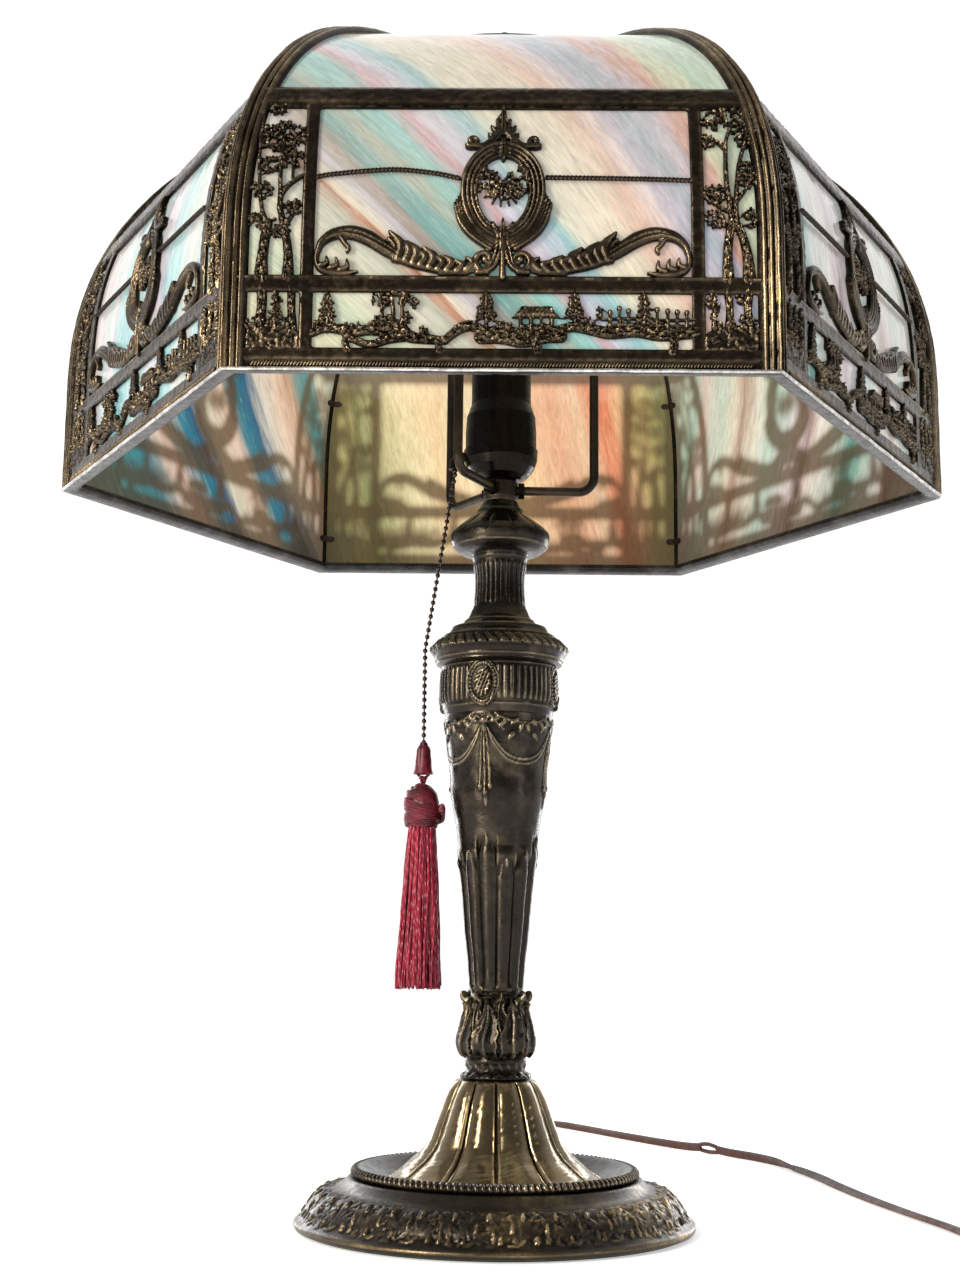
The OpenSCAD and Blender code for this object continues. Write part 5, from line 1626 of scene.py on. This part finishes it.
def make_clips(material):
    """Thin tabs bent over the glass beside each post."""
    heap = Heap()
    t = np.linspace(0, 1, 9)
    for k in PANELS:
        for side in (-1, 1):
            for w in (364.0, 448.0):
                edge = half_width(w, 6.6)
                u = side * (edge - 1.0 - 4.6 * t)
                depth = 6.95 + 0.5 * step(0.5, 0.0, t)
                half = 1.8 * np.sqrt(np.clip(1 - (np.clip(t - 0.55, 0, 1) / 0.47) ** 2, 0.02, 1))
                rows = [on_panel(u, w - half, depth), on_panel(u, w + half, depth),
                        on_panel(u, w + half, depth + 0.6), on_panel(u, w - half, depth + 0.6)]
                ring = turned_about(np.stack(rows, 1), panel_turn(k))
                heap.add(ring.reshape(-1, 3), [grid_faces(9, 4, closed=True, flip=side < 0),
                                               np.array([[0, 1, 2, 3]])[:, ::side],
                                               np.array([[35, 34, 33, 32]])[:, ::side]])
    place("glass_tabs", heap.mesh("glass_tabs", 40), "shade", material, ("glass_clips",))


# ---- materials of the lamp ----

def rgb(red, green, blue):
    """Linear colour of a screen colour given from 0 to 255."""
    return tuple(((c / 255 + 0.055) / 1.055) ** 2.4 if c > 10 else c / 3295 for c in (red, green, blue))


# Colour bands of each panel: millimetres across the streaks, then the screen colour.
FRONT_BANDS = (
    (-200, 222, 224, 190), (-178, 206, 222, 196), (-150, 232, 228, 205), (-128, 200, 205, 190),
    (-118, 190, 120, 85), (-113, 236, 226, 205), (-100, 205, 200, 210), (-92, 170, 155, 145),
    (-84, 104, 164, 164), (-77, 130, 182, 178), (-70, 178, 186, 172), (-62, 148, 202, 194),
    (-54, 150, 215, 215), (-46, 215, 170, 180), (-37, 222, 218, 235), (-26, 150, 208, 216),
    (-14, 240, 235, 215), (8, 244, 232, 210), (17, 240, 200, 180), (28, 240, 220, 220),
    (38, 200, 195, 215), (48, 172, 188, 204), (56, 206, 198, 214), (62.5, 222, 156, 138),
    (68, 222, 226, 190), (80, 190, 225, 200), (95, 205, 232, 210))
PALE_BANDS = (
    (-200, 226, 228, 214), (-160, 200, 216, 206), (-135, 236, 230, 220), (-118, 176, 150, 142),
    (-108, 232, 226, 222), (-90, 205, 222, 214), (-74, 110, 178, 172), (-66, 214, 222, 216),
    (-48, 238, 232, 226), (-36, 182, 160, 166), (-26, 230, 224, 226), (-8, 204, 226, 218),
    (8, 238, 236, 224), (22, 190, 170, 160), (32, 234, 228, 214), (48, 210, 228, 216),
    (62, 226, 212, 206), (76, 188, 216, 204), (95, 232, 230, 216))
AQUA_BANDS = (
    (-200, 190, 220, 216), (-95, 192, 226, 220), (-75, 222, 226, 222), (-60, 214, 198, 206),
    (-48, 186, 222, 220), (-36, 226, 214, 224), (-24, 156, 206, 214), (-8, 130, 196, 210), (6, 180, 220, 222),
    (20, 216, 204, 220), (34, 140, 202, 214), (50, 166, 216, 222), (66, 226, 226, 222), (80, 156, 206, 212),
    (95, 196, 226, 220))
WARM_BANDS = (
    (-200, 176, 178, 120), (-120, 156, 166, 116), (-104, 210, 204, 154), (-92, 168, 176, 130),
    (-82, 224, 218, 180), (-66, 250, 238, 204), (-44, 252, 230, 196), (-24, 248, 234, 204),
    (-4, 252, 228, 192), (14, 246, 212, 184), (28, 242, 200, 172), (40, 248, 222, 196),
    (54, 236, 162, 130), (64, 244, 204, 170),
    (76, 206, 198, 144), (85, 176, 186, 140), (95, 204, 200, 156))
TEAL_BANDS = (
    (-200, 216, 226, 214), (-150, 90, 186, 190), (-128, 60, 160, 180), (-112, 226, 216, 208),
    (-92, 238, 214, 204), (-78, 40, 154, 180), (-62, 14, 108, 154), (-50, 226, 226, 214),
    (-32, 238, 218, 204), (-16, 40, 150, 176), (2, 14, 116, 158), (12, 224, 222, 214),
    (28, 240, 220, 206), (44, 206, 178, 158),
    (60, 80, 170, 180), (74, 226, 222, 206), (95, 206, 222, 212))


def streak_space(p, slope, fan_out, seed, tilt_at, flip):
    """Millimetres across the streaks, and coordinates drawn out along them for the noises."""
    u = p.maths("MULTIPLY", p.attribute("across"), flip)
    w = p.attribute("along")
    drop = p.maths("SUBTRACT", tilt_at, w)
    moved = p.maths("SUBTRACT", u, p.maths("MULTIPLY", drop, slope))
    spread = p.maths("SUBTRACT", 1.0, p.maths("MULTIPLY", drop, fan_out))
    t = p.maths("DIVIDE", moved, p.maths("MAXIMUM", spread, 0.4))
    streaked = p.node("CombineXYZ", {"X": p.maths("MULTIPLY", t, 0.06), "Y": p.maths("MULTIPLY", w, 0.011),
                                     "Z": float(seed) * 3.7}).outputs[0]
    return t, w, streaked


def behind_openwork(p, colour, inner):
    """Painted shade: the colour darkened where the openwork hides the glass, and on the inner side a soft
    painted shadow of the openwork.
    """
    painted_shade, soft = p.attribute("painted_shade"), p.attribute("shadow")
    shade = p.node("Mix", {"Factor": inner, "A": p.maths("MULTIPLY", painted_shade, 0.36),
                           "B": p.maths("MULTIPLY", soft, 0.84)}).outputs["Result"]
    # Mixes towards a dark brown: the painted shadow colour.
    return p.mix(shade, colour, rgb(70, 54, 30))


def bulb_light(p, colour, inner):
    """The glass's painted glow, emission standing in for light through it: its colour and strength, the inner
    side warmest near the bulb.
    """
    near_bulb = p.span(p.distance_from((0.0, 0.0, 0.470)), 0.19, 0.275, 1.0, 0.0)
    glow = p.maths("MULTIPLY", p.maths("MULTIPLY", near_bulb, inner), 0.25)
    inside = p.maths("ADD", 0.24, p.maths("MULTIPLY", near_bulb, 0.66))
    strength = p.node("Mix", {"Factor": inner, "A": 0.34, "B": inside}).outputs["Result"]
    return p.mix(glow, colour, rgb(255, 214, 156), "SOFT_LIGHT"), strength


def slag_glass(name, bands, slope, fan_out, seed, tilt_at=467.0, flip=1.0):
    """Streaky opal glass. The streaks fan out downwards; what the openwork hides lies in painted shade, the
    inner side is a darker, deeper copy painted as shade, and the glass glows with painted light.
    """
    p = Paint(name)
    inner = p.attribute("inner")
    t, w, streaked = streak_space(p, slope, fan_out, seed, tilt_at, flip)
    broad = p.noise(0.55, 2.0, 0.5, streaked)
    fine = p.noise(3.2, 4.0, 0.6, streaked, 0.6)
    wisp = p.noise(7.5, 5.0, 0.66, streaked, 1.6)
    warp = p.maths("ADD", p.maths("MULTIPLY", p.maths("SUBTRACT", broad, 0.5), 34.0),
                   p.maths("MULTIPLY", p.maths("SUBTRACT", fine, 0.5), 16.0))
    first, reach = -bands[0][0], bands[-1][0] - bands[0][0]
    share = p.maths("DIVIDE", p.maths("ADD", p.maths("ADD", t, warp), float(first)), float(reach))
    colour = p.ramp(share, [((at + first) / reach, rgb(*screen)) for at, *screen in bands])
    # Painted sheen: the outer face alone paler from the wall's top up over the bend, where it faces upwards.
    painted_sheen = p.maths("MULTIPLY", p.span(w, 396.0, 436.0, 0.12, 0.36), p.maths("SUBTRACT", 1.0, inner))
    colour = p.mix(painted_sheen, colour, rgb(208, 204, 194))
    colour = p.mix(p.span(wisp, 0.54, 0.76, 0.0, 0.38), colour, rgb(246, 240, 230))
    dusky = p.span(p.noise(4.6, 5.0, 0.62, streaked, 1.2), 0.54, 0.76, 0.0, 0.32)
    colour = p.mix(dusky, colour, rgb(150, 132, 126))
    # The inner side's colour multiplied by itself, darker and deeper: a painted shaded copy of the glass.
    deep = p.mix(p.maths("MULTIPLY", inner, 0.5), colour, colour, "MULTIPLY")
    level = p.span(p.noise(8.5, 4.0, 0.6, streaked, 0.8), 0.3, 0.7, 0.80, 1.05)
    grey = p.node("CombineColor", {"Red": level, "Green": level, "Blue": level}).outputs[0]
    shaded = behind_openwork(p, p.mix(1.0, deep, grey, "MULTIPLY"), inner)
    lit, strength = bulb_light(p, shaded, inner)
    # Base colour much darker on the inner side: painted shade inside the lamp shade.
    body = p.mix(p.maths("ADD", 0.46, p.maths("MULTIPLY", inner, -0.30)), (0.0, 0.0, 0.0), shaded)
    # The emission is painted light: the glass glows as if backlit and lit by the bulb, though it is no lamp.
    p.set(Base_Color=body, Roughness=p.span(fine, 0.2, 0.8, 0.08, 0.2),
          Specular_IOR_Level=0.5, Emission_Color=lit, Emission_Strength=strength)
    return p.bump(p.noise(2.4, 3.0, 0.5, streaked), 0.0012, 0.35).material


def silk(name):
    """Crimson thread, with painted shade in the hollows between the locks and a painted sheen."""
    p = Paint(name)
    strand = p.attribute("lock_shade_and_tone")
    # Painted sheen: the thread lighter in random patches.
    sheen = p.span(p.noise(70.0, 4.0), 0.3, 0.75)
    base = p.mix(strand, rgb(36, 1, 10), rgb(138, 16, 46))
    colour = p.mix(sheen, base, p.mix(0.4, base, rgb(168, 34, 62)))
    p.set(Base_Color=colour, Roughness=0.42, Specular_IOR_Level=0.45, Sheen_Weight=0.1, Sheen_Roughness=0.35)
    p.feed(p.surface.inputs["Sheen Tint"], (0.95, 0.45, 0.55, 1.0))
    return p.bump(p.noise(1500.0, 3.0), 0.0001, 0.6).material


def moulded(name, colour, rough, mottled=0.3):
    """Moulded plastic or varnished fibre, slightly uneven."""
    p = Paint(name)
    light = tuple(c * 2.2 + 0.01 for c in colour)
    tone = p.mix(p.span(p.noise(120.0, 4.0), 0.3, 0.75, 0.0, mottled), colour, light)
    p.set(Base_Color=tone, Roughness=p.span(p.noise(300.0, 4.0), 0.3, 0.75, rough - 0.08, rough + 0.1))
    return p.bump(p.noise(900.0, 3.0), 0.00008, 0.4).material


def felt_paint(name):
    """Dark green felt."""
    p = Paint(name)
    fibre = p.noise(1300.0, 5.0, 0.75)
    colour = p.mix(p.span(fibre, 0.3, 0.7), (0.018, 0.03, 0.018), (0.05, 0.075, 0.045))
    p.set(Base_Color=colour, Roughness=0.95, Specular_IOR_Level=0.1, Sheen_Weight=0.4)
    return p.bump(fibre, 0.0004, 0.8).material


def cord_paint(name):
    """Brown vinyl, greyer and brighter where it faces up."""
    p = Paint(name)
    up = p.node("SeparateXYZ", {"Vector": p.node("NewGeometry").outputs["Normal"]}).outputs["Z"]
    tone = p.mix(p.span(up, 0.1, 0.9), rgb(66, 34, 26), rgb(52, 46, 44))
    tone = p.mix(p.span(p.noise(220.0, 4.0), 0.35, 0.7, 0.0, 0.4), tone, rgb(92, 66, 54))
    rough = p.span(p.noise(150.0, 3.0), 0.3, 0.7, 0.42, 0.6)
    p.set(Base_Color=tone, Roughness=rough, Specular_IOR_Level=0.3)
    return p.bump(p.noise(700.0, 3.0), 0.0001, 0.4).material


def lit_bulb(name):
    """Frosted glass, brightest around its middle."""
    p = Paint(name)
    far = p.span(p.distance_from((0.0, 0.0, 0.478)), 0.026, 0.05)
    colour = p.ramp(far, [(0.0, (1.0, 0.70, 0.36)), (1.0, (1.0, 0.46, 0.14))])
    grain = p.span(p.noise(900.0, 3.0), 0.3, 0.7, 0.85, 1.0)
    p.set(Base_Color=(0.9, 0.85, 0.75, 1.0), Roughness=0.35, Emission_Color=colour,
          Emission_Strength=p.maths("MULTIPLY", grain, 3.2))
    return p.material


# ---- everything in order ----

cord_material = cord_paint("cord_cover")
cord, cord_line = make_cord(cord_material)
phenolic = moulded("phenolic", rgb(48, 34, 28), 0.32)
brass = plain_metal("brass", rgb(70, 56, 38), 0.36)
dark_brass = plain_metal("dark_brass", rgb(30, 25, 21), 0.3)
plug_pieces = make_plug(phenolic, brass)

bronze = worn_metal("bronze", rgb(35, 31, 27), rgb(204, 186, 154), 0.5, (0.38, 0.68), 0.24)
# A darker copy of the bronze: painted shade on the neck and cap under the lamp shade.
shaded_bronze = worn_metal("shaded_bronze", rgb(29, 26, 23), rgb(150, 138, 118), 0.4, (0.4, 0.7), 0.25)
cast = worn_metal("cast_bronze", rgb(46, 41, 36), rgb(220, 190, 138), 0.85, (0.5, 0.64), 0.34)
gilt = worn_metal("gilt", rgb(100, 88, 68), rgb(230, 204, 156), 0.6, (0.34, 0.62), 0.18, 400.0)
openwork = worn_metal("openwork", rgb(42, 35, 28), rgb(206, 180, 140), 0.62, (0.4, 0.68), 0.25)
# The rim's metal: its dark colour is painted shade over the underside, and its bright colour on the outer lip
# a painted highlight.
rim_metal = worn_metal("white_metal", rgb(34, 33, 32), rgb(226, 224, 220), 1.3, (0.2, 0.5), 0.3,
                       dusting=0.05)
chain_metal = plain_metal("chain_metal", rgb(66, 56, 52), 0.3, 900.0)
paper = moulded("paper", rgb(120, 92, 60), 0.75)
felt = felt_paint("felt")
silk_thread = silk("silk")

across, along, panel_relief = make_openwork(openwork)
glass = [slag_glass("glass_front", FRONT_BANDS, 0.66, 0.003, 1),
         slag_glass("glass_right", PALE_BANDS, 0.12, 0.0, 2),
         slag_glass("glass_right_back", PALE_BANDS, 0.34, 0.0, 3),
         slag_glass("glass_back", WARM_BANDS, 0.2, 0.0, 4, flip=-1.0),
         slag_glass("glass_left_back", TEAL_BANDS, 0.75, 0.0, 5, flip=-1.0),
         slag_glass("glass_left", AQUA_BANDS, -0.14, 0.0, 6)]
make_glass(glass, across, along, panel_relief)
make_posts(openwork)
make_rim(rim_metal)
make_clips(chain_metal)
make_bead_rows(openwork)
make_wires(openwork)
make_crown(bronze, gilt)
make_column(bronze, {"petal_bell": gilt, "base_casting": cast, "neck_casting": shaded_bronze,
                     "mushroom_cap": shaded_bronze})
make_chain(chain_metal)
make_bell(silk_thread)
make_loop(silk_thread)
make_head(silk_thread)
make_skirt(silk_thread)

worn_steel = plain_metal("spider_steel", rgb(104, 100, 94), 0.42)
dark_metal = worn_metal("arm_bronze", rgb(32, 28, 24), rgb(150, 128, 94), 0.5, relief=False)
CARRIED = {
    dark_metal: ("arm_hub", "arm_right", "arm_rear", "arm_front", "vent_cap"),
    worn_steel: ("top_spider", "top_stud", "lamp_pipe", "pipe_washer", "pipe_nut", "bulb_contact"),
    dark_brass: ("arm_nuts", "socket_cap", "socket_shell", "chain_guide"),
    brass: ("socket_thread", "finial_insert", "bulb_base"),
    phenolic: ("socket_core", "cord_bushing"),
    paper: ("socket_insulator",),
    felt: ("felt_pad",),
    cord_material: ("inner_lead",),
    lit_bulb("bulb"): ("bulb_glass",),
}
for material, names in CARRIED.items():
    for name in names:
        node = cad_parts[name]
        node.data.materials.clear()
        node.data.materials.append(material)
